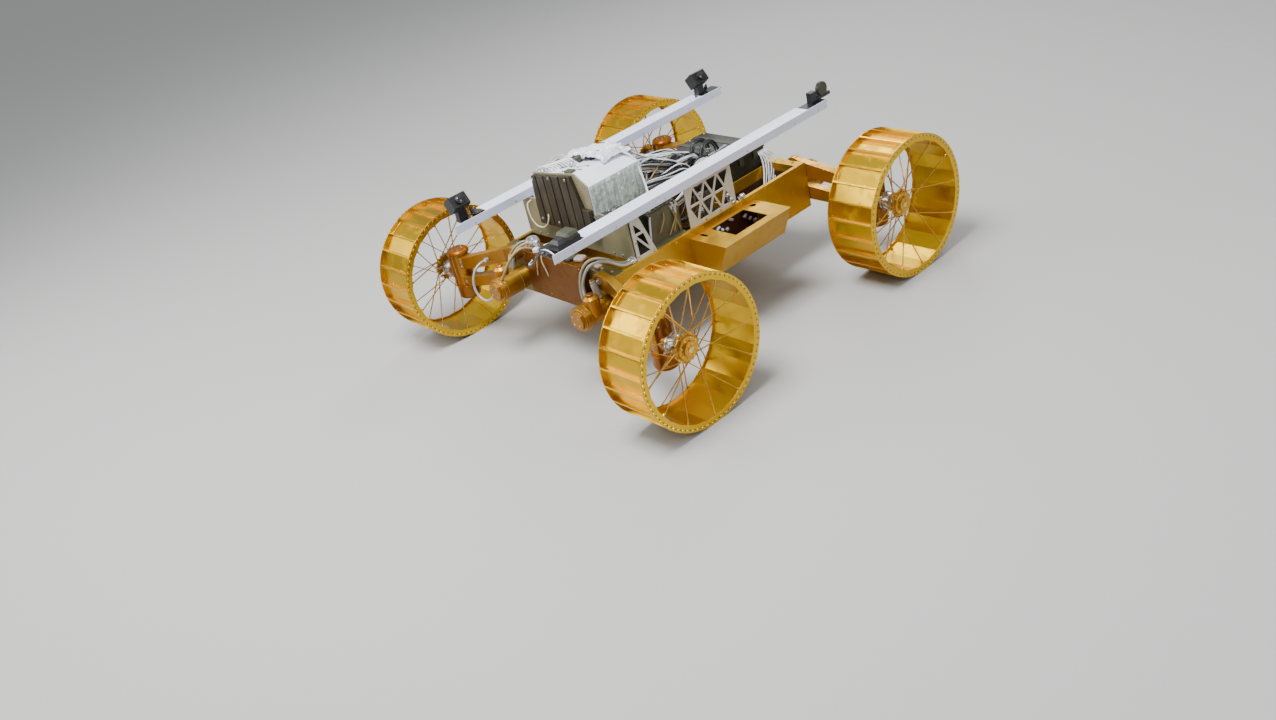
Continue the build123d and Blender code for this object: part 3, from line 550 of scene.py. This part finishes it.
def dress_wheel(corner, sx, sy):
    body = f"wheel_{corner}"
    outward = (0, sy, 0)

    def at(radius, angle, outwards):
        return round_axle(sx, sy, radius, angle, outwards)

    studs = Piece(f"ring_studs_{corner}", "fastener_gold", body)
    hole_shades = Piece(f"ring_hole_shades_{corner}", "painted_hole_shade", body)
    for face in (-1, 1):
        axis, edge = (0, face * sy, 0), face * WHEEL_HALF_WIDTH
        studs.rivets(3.6, axis, [at(243, angle, edge) for angle in turns(RING_STUDS)], 1.6)
        # Painted shade: thin dark discs between the studs stand in for the shaded holes in each ring.
        for angle in turns(RING_STUDS, 0.5):
            hole_shades.lathe(at(241, angle, edge), axis, [(2.7, 0), (2.7, 0.3)], 8)
    ties = Piece(f"spoke_nipples_{corner}", "wheel_gold", body)
    for index, angle in enumerate(turns(PLATES)):
        radial = Vector((math.cos(angle), 0, math.sin(angle)))
        along = Vector((-math.sin(angle), 0, math.cos(angle)))
        places = [Vector(at(234, angle, across)) + shift * along for across in (-84, -30, 30, 84)
                  for shift in (-23, 23)]
        studs.rivets(2, radial, places, 0.8)
        ties.lathe(at(223.5, angle, -88.5 if index % 2 else 88.5), -radial, [(4.2, 0), (4.2, 4), (2.6, 8)], 8)
    studs.make()
    hole_shades.make()
    bolts = Piece(f"hub_bolts_{corner}", "fastener_gold", body)
    bolts.bolts(3, outward, [at(33, angle, 36) for angle in turns(8, 0.5)])
    bolts.bolts(2.2, outward, [at(17, angle, 44) for angle in turns(6)]).make()
    cap = Piece(f"hub_caps_{corner}", "fastener_gold", body)
    cap.lathe(at(0, 0, 44), outward, [(12, 0), (11.5, 2), (7, 4.2)], 20).make()
    ties.make()


def dress_corner(corner, sx, sy):
    steer = f"steer_{corner}"
    x, kingpin = sx * WHEEL_X, sy * KINGPIN_Y
    outward, onward = (0, sy, 0), (sx, 0, 0)
    bolts = Piece(f"knuckle_bolts_{corner}", "fastener", steer)
    bolts.bolts(2.8, UP, [Vector((x, kingpin, 346.5)) + ring(19, angle) for angle in turns(6)])
    bolts.bolts(2.2, outward, [round_axle(sx, sy, 30.8, angle + 0.3, -34) for angle in turns(6)])
    for lean in (math.radians(-38), math.radians(38)):
        out = Vector((math.sin(lean), sy * math.cos(lean), 0))
        bolts.bolts(2.6, out, [Vector((x, kingpin, height)) + 42 * out for height in (175, 185, 315)])
    bolts.make()
    cover = Piece(f"motor_covers_{corner}", "motor_silver", steer, in_slot=True)
    cover.lathe((x, sy * (WHEEL_Y - 33.8), AXLE_Z), outward, [
        (27, 0), (32.5, 1.5), (33.5, 6), (33.5, 24), (32.2, 30), (29, 35), (26.8, 37)], 40)
    for place in (6, 12):
        cover.lathe((x, sy * (WHEEL_Y + place), AXLE_Z), outward, [(26.8, 0), (28, 0.6), (28, 2.6), (26.8, 3)], 32)
    cover.make()
    Piece(f"motor_plugs_{corner}", "connector", steer).plugs(
        ((x + sx * 26, sy * 617, 252), (sx, 0, -0.15), 6.5, 30),
        ((x + sx * 25, sy * 634, 262), (sx, 0, 0.2), 5, 24)).make()

    pins = Piece(f"arm_bolts_{corner}", "fastener")
    pins.bolts(8.5, onward, [(sx * (TUB_HALF_LENGTH + 28), sy * 240, 364)])
    for side in BOTH:
        pins.bolts(3.2, (side, 0, 0), [(x + side * 24, sy * LUG_Y, height) for height in (291, 311)])
        pins.bolts(3.6, (side, 0, 0), [(x + side * 24, sy * LUG_Y, 228)])
    for angle in turns(4, 0.5):
        place = (sx * 614, sy * LIFT_Y + 20 * math.cos(angle), LIFT_Z + 20 * math.sin(angle))
        pins.bolts(2.8, onward, [place])
    pins.make()
    bands = Piece(f"lift_bands_{corner}", "suspension_gold", in_slot=True)
    for place in (508, 575, 590):
        bands.lathe((sx * place, sy * LIFT_Y, LIFT_Z), onward, band(43.6, 6), 40)
    bands.make()
    knob = Piece(f"lift_knobs_{corner}", "knuckle_red")
    knob.lathe((sx * 552, sy * 250, 343.8), UP, [(12, 0), (12, 4), (9.5, 6.5)], 24).make()
    sleeve = Piece(f"strut_sleeves_{corner}", "cable_silver")
    foot = Vector((sx * 510, sy * 252, LIFT_Z))
    along = (Vector((sx * 510, sy * 222, 376)) - foot).normalized()
    for distance, span, radius in ((40, 12, 11.2), (53, 40, 12.4), (94, 8, 10.8)):
        sleeve.lathe(foot + distance * along, along, band(radius, span, 1.6), 24)
    sleeve.make()


# Body

def dress_body():
    bolts = Piece("body_bolts", "tub_gold")
    for sy in BOTH:
        for index in range(15):
            x = -448 + index * 64
            heights = (371, 226) if -200 < x < 135 else (371, 296, 222)
            bolts.rivets(2.8, (0, sy, 0), [(x, sy * TUB_HALF_WIDTH, height) for height in heights])
        bolts.rivets(2.4, UP, [(-416 + index * 64, sy * 291, TUB_TOP) for index in range(14)])
    for sx in BOTH:
        bolts.bolts(4, UP, [(sx * 450, y, TUB_TOP) for y in (-260, -210, 210, 260)])
        bolts.bolts(4, (sx, 0, 0), [(sx * TUB_HALF_LENGTH, y, height) for y in (-285, 285)
                                    for height in (235, 300, 365)])
    bolts.bolts(4, (-1, 0, 0), [(-TUB_HALF_LENGTH, y, height) for y in (-180, -60, 60, 180)
                                for height in (225, 367)])
    bolts.make()
    nose = Piece("nose_bolts", "nose_brown")
    nose.bolts(3.4, FORWARD, [(500, y, height) for y in (-146, -50, 50, 146) for height in (252, 388)]).make()

    rivets = Piece("side_box_rivets", "tub_gold")
    for sy in BOTH:
        hole = [(-126 + index * 29, y) for index in range(7) for y in (306.5, 437)]
        hole += [(x, y) for y in (335, 371, 407) for x in (-126.5, 48.5)]
        rivets.rivets(2.4, UP, [(x, sy * y, SIDE_BOX_TOP) for x, y in hole])
        rivets.rivets(2.2, UP, [(-188 + index * 28, sy * 458.5, SIDE_BOX_TOP) for index in range(12)])
    rivets.make()

    silver = Piece("frame_bolts", "fastener")
    for sy in BOTH:
        out, truss = (0, sy, 0), sy * TRUSS_FACE
        silver.rivets(3, out, [(x, truss, 544.5) for x in (-105, -35, 35, 100)])
        silver.bolts(2.6, out, [(x, truss, 386.5) for x in (-108, -36, 36, 104)])
        silver.bolts(2.6, out, [(x, truss, height) for x, height in (
            (352, 395), (352, 445), (352, 495), (352, 535), (285, 388))])
        silver.bolts(3, FORWARD, [(BULKHEAD_FACE, sy * y, height) for y in (180, 225, 275) for height in (393, 520)])
    silver.rivets(2.8, (0, 1, 0), [(x, y, 538) for x in (-580, -450, -200, 200, 420, 600) for y in (300, -238)])
    silver.bolts(3.6, FORWARD, [(390, y, height) for y, height in (
        (-145, 622), (-52, 638), (41, 646), (-145, 475), (-52, 475), (112, 475))])
    silver.bolts(3.4, UP, [(x, y, 461) for x in (-415, -338, -261) for y in (-143, 143)]).make()


def dress_cameras():
    """Lenses and fittings on the cameras and their brackets, and the small units beside them."""
    rims = Piece("camera_rims", "camera_black")
    glass = Piece("camera_glass", "glass")
    tilt = math.radians(36)
    axis = Vector((0, math.cos(tilt), math.sin(tilt)))
    up = Vector((0, -math.sin(tilt), math.cos(tilt)))
    for x in (628, -545):
        centre = Vector((x, -RAIL_Y, RAIL_TOP + 60))
        rims.lathe(centre + 32 * axis, axis, [(15.2, 0), (16, 1), (16, 3), (14, 4)], 28)
        glass.lathe(centre + 34 * axis, axis, [(12, 0), (11.5, 1.8), (8, 3.4), (3, 4)], 24)
        rims.bolts(2, axis, [centre + 25 * axis + Vector((across, 0, 0)) + height * up
                             for across in (-27, 27) for height in (-18, 18)])
    rims.make()
    glass.make()
    small = Piece("camera_fittings", "connector_dark").plugs(
        ((583, -262, 561), (0.2, 0.1, 1), 7, 34), ((-585, -280, 556), (-0.2, 0.3, 1), 6, 28),
        ((668, 276, 553), (1, 0.1, 0.5), 6, 24), ((666, 256, 558.5), (1, -0.3, 0.1), 5.5, 22))
    small.lathe((600, -280, 555.8), UP, [(4, 0), (4, 22), (6, 23), (6, 27)])
    small.lathe((-510, -255, 559), UP, [(3.5, 0), (3.5, 20), (5, 21), (5, 25)]).make()
    gold = Piece("camera_nuts", "fastener_gold").bolts(7.5, UP, [(578, -285, 555.8)])
    gold.bolts(6, UP, [(600, -256, 555.8)]).make()
    dark = Piece("bracket_blocks", "plug_olive")
    dark.lathe((-645, 275.5, 592), (0, 1, 0), [(23.5, 0), (23.5, 1.5), (20, 2.5), (18.5, 1.2)], 28)
    dark.blocks((564.5, -262, 560.5, 36, 30, 4, 1, 0), (583, 262, 580.5, 56, 62, 30, 9, 0.1),
                (556, 232, 566, 46, 30, 22, 7, -0.2)).make()
    unit = Piece("front_unit", "camera_black")
    unit.blocks((604, 208.5, 534, 92, 59, 24, 2.5, 0), (604, 208.5, 547, 78, 46, 4, 1.2, 0)).make()
    lines = Piece("unit_lines", "plug_white")
    lines.blocks(*[(x, 208.5, 549.3, 1.8, 44, 0.8, 0.3, 0.25) for x in (590, 606)]).make()


# Films

def film_sheet(name, finish, rows, columns, place):
    """A crumpled sheet over a grid."""
    points = [metres(place(i / (columns - 1), j / (rows - 1))) for j in range(rows) for i in range(columns)]
    faces = [(base, base + 1, base + columns + 1, base + columns)
             for j in range(rows - 1) for base in range(j * columns, j * columns + columns - 1)]
    mesh = bpy.data.meshes.new(name)
    mesh.from_pydata([tuple(p) for p in points], [], faces)
    mesh.shade_smooth()
    mesh.materials.append(finishes[finish])
    made = add_object(name, mesh)
    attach(made, "chassis")


def wander(*place):
    return noise.noise(Vector(place))


def ridges(x, y, scale, seed):
    """Sharp creases: high along thin crooked lines."""
    return 1 - abs(wander(x * scale, y * scale, seed)) * 2


def side_film(u, v):
    """Film down the left side of the electronics box, from under its bevel to below the rail."""
    x = BOX_REAR - 4 + u * (BOX_FRONT - 6 - BOX_REAR)
    z = 625.5 - v * 158
    out = 2 + 4.8 * max(0, ridges(x * 3.4, z * 0.5 + x, 0.016, 1.5)) * (0.35 + v)
    out += 1.4 * max(0, ridges(x * 2.4, z * 1.6, 0.026, 4.5)) + 1.2 * wander(x * 0.190, z * 0.026, 3)
    out *= min(1, v * 12 + 0.25)
    return x, BOX_LEFT + max(0.8, out) + 10 * max(0, v - 0.72), z


def top_height(y):
    """The electronics box's top, which falls to the right and bevels on the left."""
    past = y - BOX_BEVEL_Y
    return BOX_TOP - (past * 36 / 57 if past > 0 else -past * 26 / 227)


def top_film(u, v):
    """A white crumpled sheet over the top of the box's rear, hanging over its rear edge."""
    y = -128 + v * 222 + 12 * wander(u * 3, 2.2, 7)
    x = 262 + 20 * wander(v * 4, 5.2, 3) - u * 215
    lump = 6 + 10 * wander(u * 5, v * 5, 9) + 12 * max(0, ridges(u, v, 6, 2.5)) + 4 * ridges(u, v, 15, 5.5)
    height = top_height(min(y, 100)) + max(1.5, lump)
    if x < BOX_REAR:
        drop = BOX_REAR - x
        x = BOX_REAR - 3 - 0.4 * max(2, lump) - 0.2 * drop
        height -= 1.1 * drop
    return x, y, height


def front_film(u, v):
    """Dark creased film between the heat sink's foot and the left rail."""
    return 385 - 100 * u, 137 + 98 * v, 520 + 12 * v + 6 * wander(u * 6, v * 6, 3) + 5 * ridges(u, v, 7, 8.5)


# Equipment

def dress_electronics():
    film_sheet("film_side", "film_silver", 60, 96, side_film)
    film_sheet("film_top", "film_white", 56, 60, top_film)
    film_sheet("film_front", "film_dark", 34, 34, front_film)

    white = Piece("box_plugs", "plug_white").blocks(
        (288, -62, 656, 30, 28, 16, 2, 0), (340, -88, 650, 30, 34, 12, 3, 0.4),
        (352, -30, 654, 16, 36, 6, 2, -0.3), (316, 2, 656, 32, 30, 4, 1, 0))
    white.blocks(*[(x, 269, z, 5.5, 17, 17, 1.5, lean) for x, z, lean in (
        (139, 490, 0.2), (147, 480, -0.3), (156, 492, 0.1), (164, 484, 0.4), (150, 468, -0.1))], axis="Y")
    white.blocks(*[(x, sy * 307, z, length, 10, 9, 2, turn) for sy in BOTH for x, z, length, turn in (
        (6, 340, 20, 0.4), (-12, 326, 12, -0.9), (-150, 308, 14, 0.4))], axis="Y").make()

    silver = Piece("box_connectors", "connector")
    silver.lathe((316, 2, 657), (0.05, 0.1, 1), [(11.5, 0), (11.5, 12), (9, 13), (9, 19), (7, 21)], 24)
    silver.plugs(*[((x, 285, z), axis, 10, 34) for x, z, axis in (
        (15, 462, (0.2, -1, 0.1)), (0, 430, (0, -1, -0.2)), (22, 405, (0.1, -1, 0.1)), (-104, 400, (0.2, -1, 0.2)))])
    silver.plugs(((-102, 276, 384), (0.3, 0.6, 0.8), 11, 30), ((-136, 288, 382), (-0.4, 0.4, 0.6), 9, 26)).make()
    plates = Piece("connector_plates", "connector_dark")
    plates.blocks((10, 287, 433, 52, 3, 92, 1, 0), (-98, 287, 399, 30, 3, 32, 1, 0)).make()

    olive = Piece("box_blocks", "plug_olive")
    olive.lathe((268, -26, 652), (0.1, -0.2, 1), [(13, 0), (15, 2), (15, 17), (12, 21), (6, 22)], 20)
    olive.blocks((302, -104, 648, 34, 30, 20, 4, -0.3), (352, 30, 660, 26, 34, 10, 2, 0.2)).make()

    black = Piece("bay_blocks", "cable_black").blocks(
        (-286, 40, 465, 110, 16, 12, 2, 0.06), (-170, 55, 430, 60, 40, 22, 3, 0.3),
        (-160, 105, 427, 50, 22, 16, 2, 0), (240, 4, 658, 34, 30, 10, 3, 0.3))
    black.lathe((-120, 12, 515), (1, 0.3, 0.05), [(5, 0), (13, 6), (14, 26), (13, 46), (5, 52)], 16).make()

    # Painted shade: thin dark maroon sheets on the inner walls and floors of the side boxes, the troughs and the
    # bay, standing in for the shade and reddish bounce light there.
    shade_sheets = Piece("bay_shade_sheets", "painted_shade_maroon")
    shade_sheets.blocks(*[(x, sy * y, *rest, 0.4, 0) for sy in BOTH for x, y, *rest in (
        (-34.5, 300.8, 302, 316, 1.2, 98), (-193, 360, 302, 1.2, 106, 96), (-34.5, 353, 252.8, 310, 100, 1.2),
        (-264, 165.8, 278, 328, 1.2, 124), (-429.2, 231, 284, 1.2, 126, 136), (-264, 231, 214.8, 326, 126, 1.2))])
    shade_sheets.blocks((22, 0, 214.8, 200, 556, 1.2, 0.4, 0)).make()

    pink = Piece("side_box_sockets", "plug_pink")
    pink.blocks(*[(x, sy * 307, z, length, 12, 11, 2, turn) for sy in BOTH for x, z, length, turn in (
        (-34, 318, 14, 0.3), (-58, 344, 22, -0.6), (20, 324, 16, 0.9), (-128, 326, 18, 0.5), (-172, 290, 14, 0.2))],
        axis="Y").make()

    trim = Piece("battery_edges", "plug_white")
    trim.blocks((-338, 154.5, 461.5, 170, 3, 2.2, 0.6, 0), (-286, 49, 469, 112, 2.2, 6, 0.6, 0.06)).make()
    straps = Piece("battery_straps", "plug_olive")
    for x in (-300, -375):
        straps.blocks((x, 0, 462, 20, 311, 2.2, 0.6, 0), *[(x, sy * 156, 440, 20, 2, 44, 0.6, 0) for sy in BOTH])
    straps.make()


def dress_nose():
    """The fittings on the front beam's top, where the corner's hoses start, and the ends of all hoses."""
    silver = Piece("nose_fittings", "connector")
    silver.lathe((462, -140, 400), (0.1, 0.15, 1), [
        (12, 0), (12, 12), (23, 16), (24, 30), (20, 34), (14, 34), (12, 28), (2, 28)], 28)
    silver.lathe((468, -100, 400), (0.1, -0.1, 1), [
        (10, 0), (10, 22), (14.5, 24), (14.5, 36), (10, 40), (6, 41)], 24)
    silver.plugs(((484, -70, 400), (0.3, 0.2, 1), 8, 26)).make()
    white = Piece("nose_plugs", "plug_white")
    white.blocks((486, -92, 408, 22, 20, 15, 2, 0.4), (452, -74, 408, 18, 22, 15, 2, -0.3)).make()
    olive = Piece("nose_blocks", "plug_olive")
    olive.blocks((448, -38, 412, 38, 56, 24, 7, 0.2), (472, 74, 408, 40, 46, 18, 6, -0.2),
                 (446, 20, 404.5, 24, 40, 14, 4, 0.3)).make()
    ends = Piece("hose_fittings", "connector").plugs(
        ((520, -371.5, 330), (1, -0.1, 0), 7.8, 20), ((574, -266, 269), (0.5, -0.6, -0.7), 7.8, 22))
    ends.plugs(*[((BULKHEAD_FACE, y, 388), FORWARD, 8, 22) for y in (266, 284)])
    ends.plugs(*[((sx * 551.5, sy * 229, 314), (-sx * 0.3, -sy * 0.9, 0.12), 7.8, 18)
                 for sx, sy in ((1, 1), (-1, 1), (-1, -1))])
    ends.plugs(*[((-TUB_HALF_LENGTH, sy * 196, 350), (-1, 0, 0), 8, 22) for sy in BOTH]).make()
    pink = Piece("nose_sockets", "plug_pink")
    pink.blocks((462, 118, 407, 34, 38, 16, 5, 0.3), (450, 192, 388, 22, 30, 13, 4, -0.2)).make()


# Loose cables and hoses: name, finish, diameter, stiffness, points from end to end
CORDS = (
    ("hose_front_left", "cable_silver", 10.5, "stiff", (
        (364, 284, 388), (388, 284, 388), (412, 284, 391), (434, 280, 403), (452, 266, 420), (474, 252, 430),
        (493, 233, 428), (504, 210, 414), (514, 194, 388), (523, 186, 358), (532, 192, 336), (542, 210, 322),
        (549, 225.5, 316))),
    ("hose_front_inner", "cable_beige", 10.5, "stiff", (
        (364, 266, 388), (388, 266, 388), (410, 264, 394), (430, 256, 408), (450, 244, 424), (470, 226, 434),
        (488, 204, 430), (500, 184, 412), (511, 170, 384), (520, 166, 352), (530, 174, 326), (540, 190, 310),
        (548, 205, 304))),
    ("hose_front_right", "cable_silver", 10, "stiff", (
        (522, -372, 330), (546, -374, 331), (572, -376, 322), (592, -378, 300), (604, -376, 272), (609, -368, 242),
        (608, -350, 219), (603, -326, 210), (595, -302, 217), (586, -283, 236), (578, -269.5, 262.5))),
    ("hose_nose_upper", "cable_beige", 9, "medium", (
        (455, -118, 401), (472, -124, 420), (494, -132, 430), (516, -142, 426), (534, -156, 408), (545, -174, 384),
        (551, -196, 358), (552, -223.5, 338))),
    ("hose_nose_lower", "cable_tan", 9, "medium", (
        (478, -116, 401), (496, -124, 416), (520, -132, 422), (544, -144, 412), (562, -160, 388), (574, -178, 356),
        (580, -196, 330), (582, -212, 311))),
    ("hose_nose_strut", "cable_beige", 8, "medium", (
        (448, -150, 401), (460, -158, 416), (478, -168, 424), (496, -182, 418), (507, -200, 402), (510, -218, 382))),
    ("line_black", "cable_black", 8, "medium", (
        (500, -128, 362), (520, -120, 362), (546, -92, 372), (572, -30, 396), (602, 48, 436), (632, 124, 488),
        (654, 184, 532), (668, 226, 556), (678, 262, 566), (680, 290, 563.5))),
    ("line_white", "cable_white", 5, "medium", (
        (500, -112, 370), (518, -104, 370), (546, -70, 384), (576, -4, 412), (608, 72, 456), (638, 142, 506),
        (658, 204, 546), (669, 244, 565), (673, 272, 570), (673, 297.5, 561))),
    ("hose_rear_left", "cable_beige", 10.5, "stiff", (
        (-470, 196, 350), (-494, 196, 350), (-518, 198, 345), (-538, 206, 332), (-546, 218, 320), (-549, 226, 315))),
    ("hose_rear_right", "cable_beige", 10.5, "stiff", (
        (-470, -196, 350), (-494, -196, 350), (-518, -198, 345), (-538, -206, 332), (-546, -218, 320),
        (-549, -226, 315))),
    ("loop_bulkhead", "cable_cream", 5.5, "medium", (
        (365, -226, 520), (382, -224, 520), (396, -214, 512), (402, -204, 490), (404, -194, 466), (404, -174, 448),
        (402, -148, 444), (400, -126, 450), (397, -110, 466), (394, -104, 484), (388, -108, 498),
        (375.5, -112, 504))),
    ("tail_front", "cable_cream", 4, "limp", (
        (460, -46, 415), (480, -50, 419), (500, -58, 413), (509, -68, 392), (506, -82, 360), (502.2, -94, 334),
        (502.2, -100, 316))),
    ("tail_front_short", "cable_cream", 4, "limp", (
        (460, -34, 415), (480, -36, 419), (500, -42, 412), (509, -44, 390), (506, -40, 360), (502.2, -37, 340),
        (502.2, -36, 326))),
    ("drop_cable", "cable_white", 7.5, "medium", (
        (190, 60, 668), (176, 86, 668), (160, 110, 654), (150, 128, 628), (150, 142, 590), (158, 162, 552),
        (176, 190, 520), (198, 216, 513), (222, 238, 510), (248, 262, 500), (268, 276, 468), (274, 276, 430),
        (270, 266, 400), (262, 248, 390))),
)

# The wire harness: each loom's place, y and height at the front, and its place and y at the rear
LOOMS = (
    (145, -92, 515, -122, -84), (145, -48, 562, -212, -50), (145, -4, 508, -126, -14), (145, 42, 558, -218, 26),
    (145, 98, 512, -130, 70), (130, 214, 452, -216, 102), (130, -214, 452, -224, -108),
)
LOOM_SHARES = ((0, 0, 0), (0.27, 0.12, 0.34), (0.52, 0.48, 0.84), (0.78, 0.86, 1.06), (1, 1, 1))
LOOM_HEIGHT = 492
LOOM_KINDS = (
    ("cable_white", "cable_black", "cable_white", "cable_grey", "cable_black", "cable_white", "cable_cream"),
    ("cable_black", "cable_white", "cable_grey", "cable_black", "cable_tan", "cable_white", "cable_black"),
)
LOOM_WIRES = 9
CROSSING_WIRES = 26

# The jumpers' place and height along their way, their middle, their y, and their wires' offsets
JUMPER_ROUTE = ((-290, 461), (-290, 497), (-262, 522), (-234, 522), (-206, 497), (-206, 440))
JUMPER_MIDDLE = Vector((-248, 0, 470))
JUMPERS = (2, 50)
JUMPER_WIRES = ((-7, 0), (-3.6, 6.2), (3.6, 6.2), (7, 0), (0, -6.6))


def stray(reach):
    return draw.uniform(-reach, reach)


def loom_route(front_x, front_y, height, rear_x, rear_y):
    """The middle line of one loom, from its plug at the front to its plug on the power unit."""
    start = Vector((front_x - 48, front_y, height))
    run = Vector((rear_x + 34, rear_y, LOOM_HEIGHT)) - start
    points = [Vector((front_x - 20, front_y, height))]
    points += [start + Vector((a * run.x, b * run.y, c * run.z)) for a, b, c in LOOM_SHARES]
    return points + [Vector((rear_x, rear_y, 464)), Vector((rear_x, rear_y, 440))]


def strand(route, angle, spread):
    """One wire of a loom, which winds round its middle line and strays from it between the plugs."""
    points = []
    last = len(route) - 1
    for index, place in enumerate(route):
        turn = axis_turn(route[min(index + 1, last)] - route[max(index - 1, 0)])
        radius = 6.2 if index in (0, last) else 8 + spread * draw.random()
        points.append(place + turn @ ring(radius, angle + 0.35 * index))
    return points


def crossing_wire(routes):
    """A wire from one of the box's looms to the plug of another."""
    first, second = draw.sample(range(5), 2)
    head = routes[first][0] + Vector((-4, stray(5), stray(5)))
    foot = routes[second][-1] + Vector((stray(5), stray(5), 0))
    lift = draw.uniform(-35, 30)
    points = [head, head + Vector((-30, 0, 4))]
    for share in (0.30, 0.55, 0.80):
        middle = head.lerp(foot, share)
        middle.z = head.z + (LOOM_HEIGHT + 4 - head.z) * share + lift * math.sin(math.pi * share)
        points.append(middle + Vector((stray(12), stray(22), 0)))
    return points + [Vector((foot.x + 4, foot.y, LOOM_HEIGHT - 4)), foot]


def lay_harness():
    """Loose wires round each loom's sleeve, wires that cross between looms, and the plugs."""
    routes = [loom_route(*row) for row in LOOMS]
    jumpers = [[Vector((x, y, z)) for x, z in JUMPER_ROUTE] for y in JUMPERS]
    sleeves = bundle("loom_sleeves", "harness_sleeve", 6, routes + jumpers)
    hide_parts("wire_harness")

    wires = {kind: [] for kinds in LOOM_KINDS for kind in kinds}
    for number, route in enumerate(routes):
        for index, angle in enumerate(turns(LOOM_WIRES)):
            loose = 20 if index % 3 == 0 else 5
            wires[LOOM_KINDS[number % 2][index % 7]].append(strand(route, angle, loose))
    for route in jumpers:
        for aside, out in JUMPER_WIRES:
            wires["cable_black"].append([
                place + out * (place * Vector((1, 0, 1)) - JUMPER_MIDDLE).normalized() + Vector((0, aside, 0))
                for place in route])
    for index in range(CROSSING_WIRES):
        wires[LOOM_KINDS[index % 2][index % 7]].append(crossing_wire(routes))
    for kind, lines in wires.items():
        bundle(f"harness_{kind[6:]}", kind, 2.7, lines)

    heads = Piece("loom_plugs", "connector")
    for front_x, front_y, height, rear_x, rear_y in LOOMS:
        heads.plugs(((front_x, front_y, height), (-1, 0, 0), 11.2, 30), ((rear_x, rear_y, 420), UP, 11.2, 30))
    for y in JUMPERS:
        heads.plugs(((-290, y, 461), UP, 8.5, 18), ((-206, y, 420), UP, 8.5, 24))
    heads.make()

    ribbons = []
    for start, aside, height in ((-75, 30, 8), (20, 20, 4)):
        for y in [start + 5.2 * index for index in range(6)]:
            top, end = top_height(y), y + aside
            ribbons.append([(176, y, top + 10), (150, y, top + 11), (112, y + 0.2 * aside, 636 + height),
                            (60, y + 0.5 * aside, 592 + height), (4, y + 0.8 * aside, 556 + height),
                            (-52, end, 532 + height), (-92, end, 510), (-108, end, 470), (-110, end, 424)])
    bundle("ribbon_wires", "cable_white", 2.4, ribbons)


def lay_cables():
    for row in CORDS:
        cord(*row)

    strands = []
    for index in range(6):
        shift, side = 13.5 * index, stray(4)
        strands.append([(-386 - 0.3 * shift, 130, 444), (-392 - 0.5 * shift, 157.5, 432),
                        (-392 - 0.9 * shift + side, 166, 412), (-390 - shift, 172 + 0.5 * side, 388),
                        (-382 - shift + side, 177, 362), (-370 - 0.9 * shift - side, 182, 332),
                        (-352 - 0.8 * shift, 192 + side, 292), (-330 - 0.7 * shift + side, 204, 252),
                        (-300 - 0.6 * shift, 214 + side, 222), (-262 - 0.5 * shift, 222, 219)])
    bundle("trough_strands", "cable_white", 3.2, strands)

    # Wires in the bay below the harness, on its floor and over the cross wall
    low = []
    for y in range(-220, 244, 29):
        low.append([(150, y * 0.5, 389), (100, y * 0.8, 380), (60, y, 330 + 50 * draw.random()),
                    (0, y + stray(20), 300 + 60 * draw.random()), (-60, y * 0.9, 360), (-92, y * 0.7, 398),
                    (-130, y * 0.45, 422.5)])
    bundle("harness_low", "cable_black", 4.2, low)

    # Wires on the electronics box's top: dark ones low over the film, white loops behind the heat sink
    top = []
    for x in range(150, 374, 16):
        y = draw.uniform(-120, 0)
        base = top_height(y) + (8 if x < 270 else 0)
        rise = draw.uniform(4, 9)
        top.append([(x, y, base + 2), (x - 12, y + 12, base + rise), (x - 26, y + 34, base + rise),
                    (x - 34, y + draw.uniform(40, 70), base + rise * 0.8),
                    (x - 30, y + 80, top_height(min(y + 80, BOX_BEVEL_Y - 1)) + 2)])
    bundle("top_wires", "cable_black", 1.6, top)
    loops = []
    for index in range(9):
        x, y = 372 - 9 * index, -130 + 6 * index
        base = top_height(y)
        loops.append([(x, y, base + 2), (x + 4, y + 6, base + 20), (x - 6, y + 24, base + 28),
                      (x - 16, y + 46, base + 24), (x - 20, y + 60 + draw.uniform(0, 20), base + 6)])
    bundle("top_loops", "cable_white", 2.6, loops)
    bundle("top_arcs", "cable_cream", 2.2, [
        [(316, -128, 640), (306, -130, 664), (292, -108, 678), (280, -80, 676), (278, -66, 660)],
        [(352, -118, 641), (346, -112, 662), (330, -90, 674), (318, -70, 668), (314, -60, 650)]])

    # Thin wires on the controllers' outer faces
    face = []
    for sy in BOTH:
        for x, z, run, drop in ((141, 474, 50, 80), (150, 462, 20, 66), (162, 474, -20, 84), (200, 480, 30, 60)):
            face.append([(x, sy * 271.5, z), (x + 0.1 * run, sy * 279, z - 12),
                         (x + 0.5 * run, sy * 280, z - 0.5 * drop), (x + run, sy * 278, z - 0.9 * drop),
                         (x + run, sy * 271.5, z - drop)])
    bundle("controller_wires", "cable_tan", 2.2, face)


make_camera()
make_floor()
make_world()
make_lamps()
finishes = make_finishes()
dress_cad_nodes()
lay_cables()
lay_harness()
for corner in CORNERS:
    dress_wheel(*corner)
    dress_corner(*corner)
dress_body()
dress_cameras()
dress_electronics()
dress_nose()
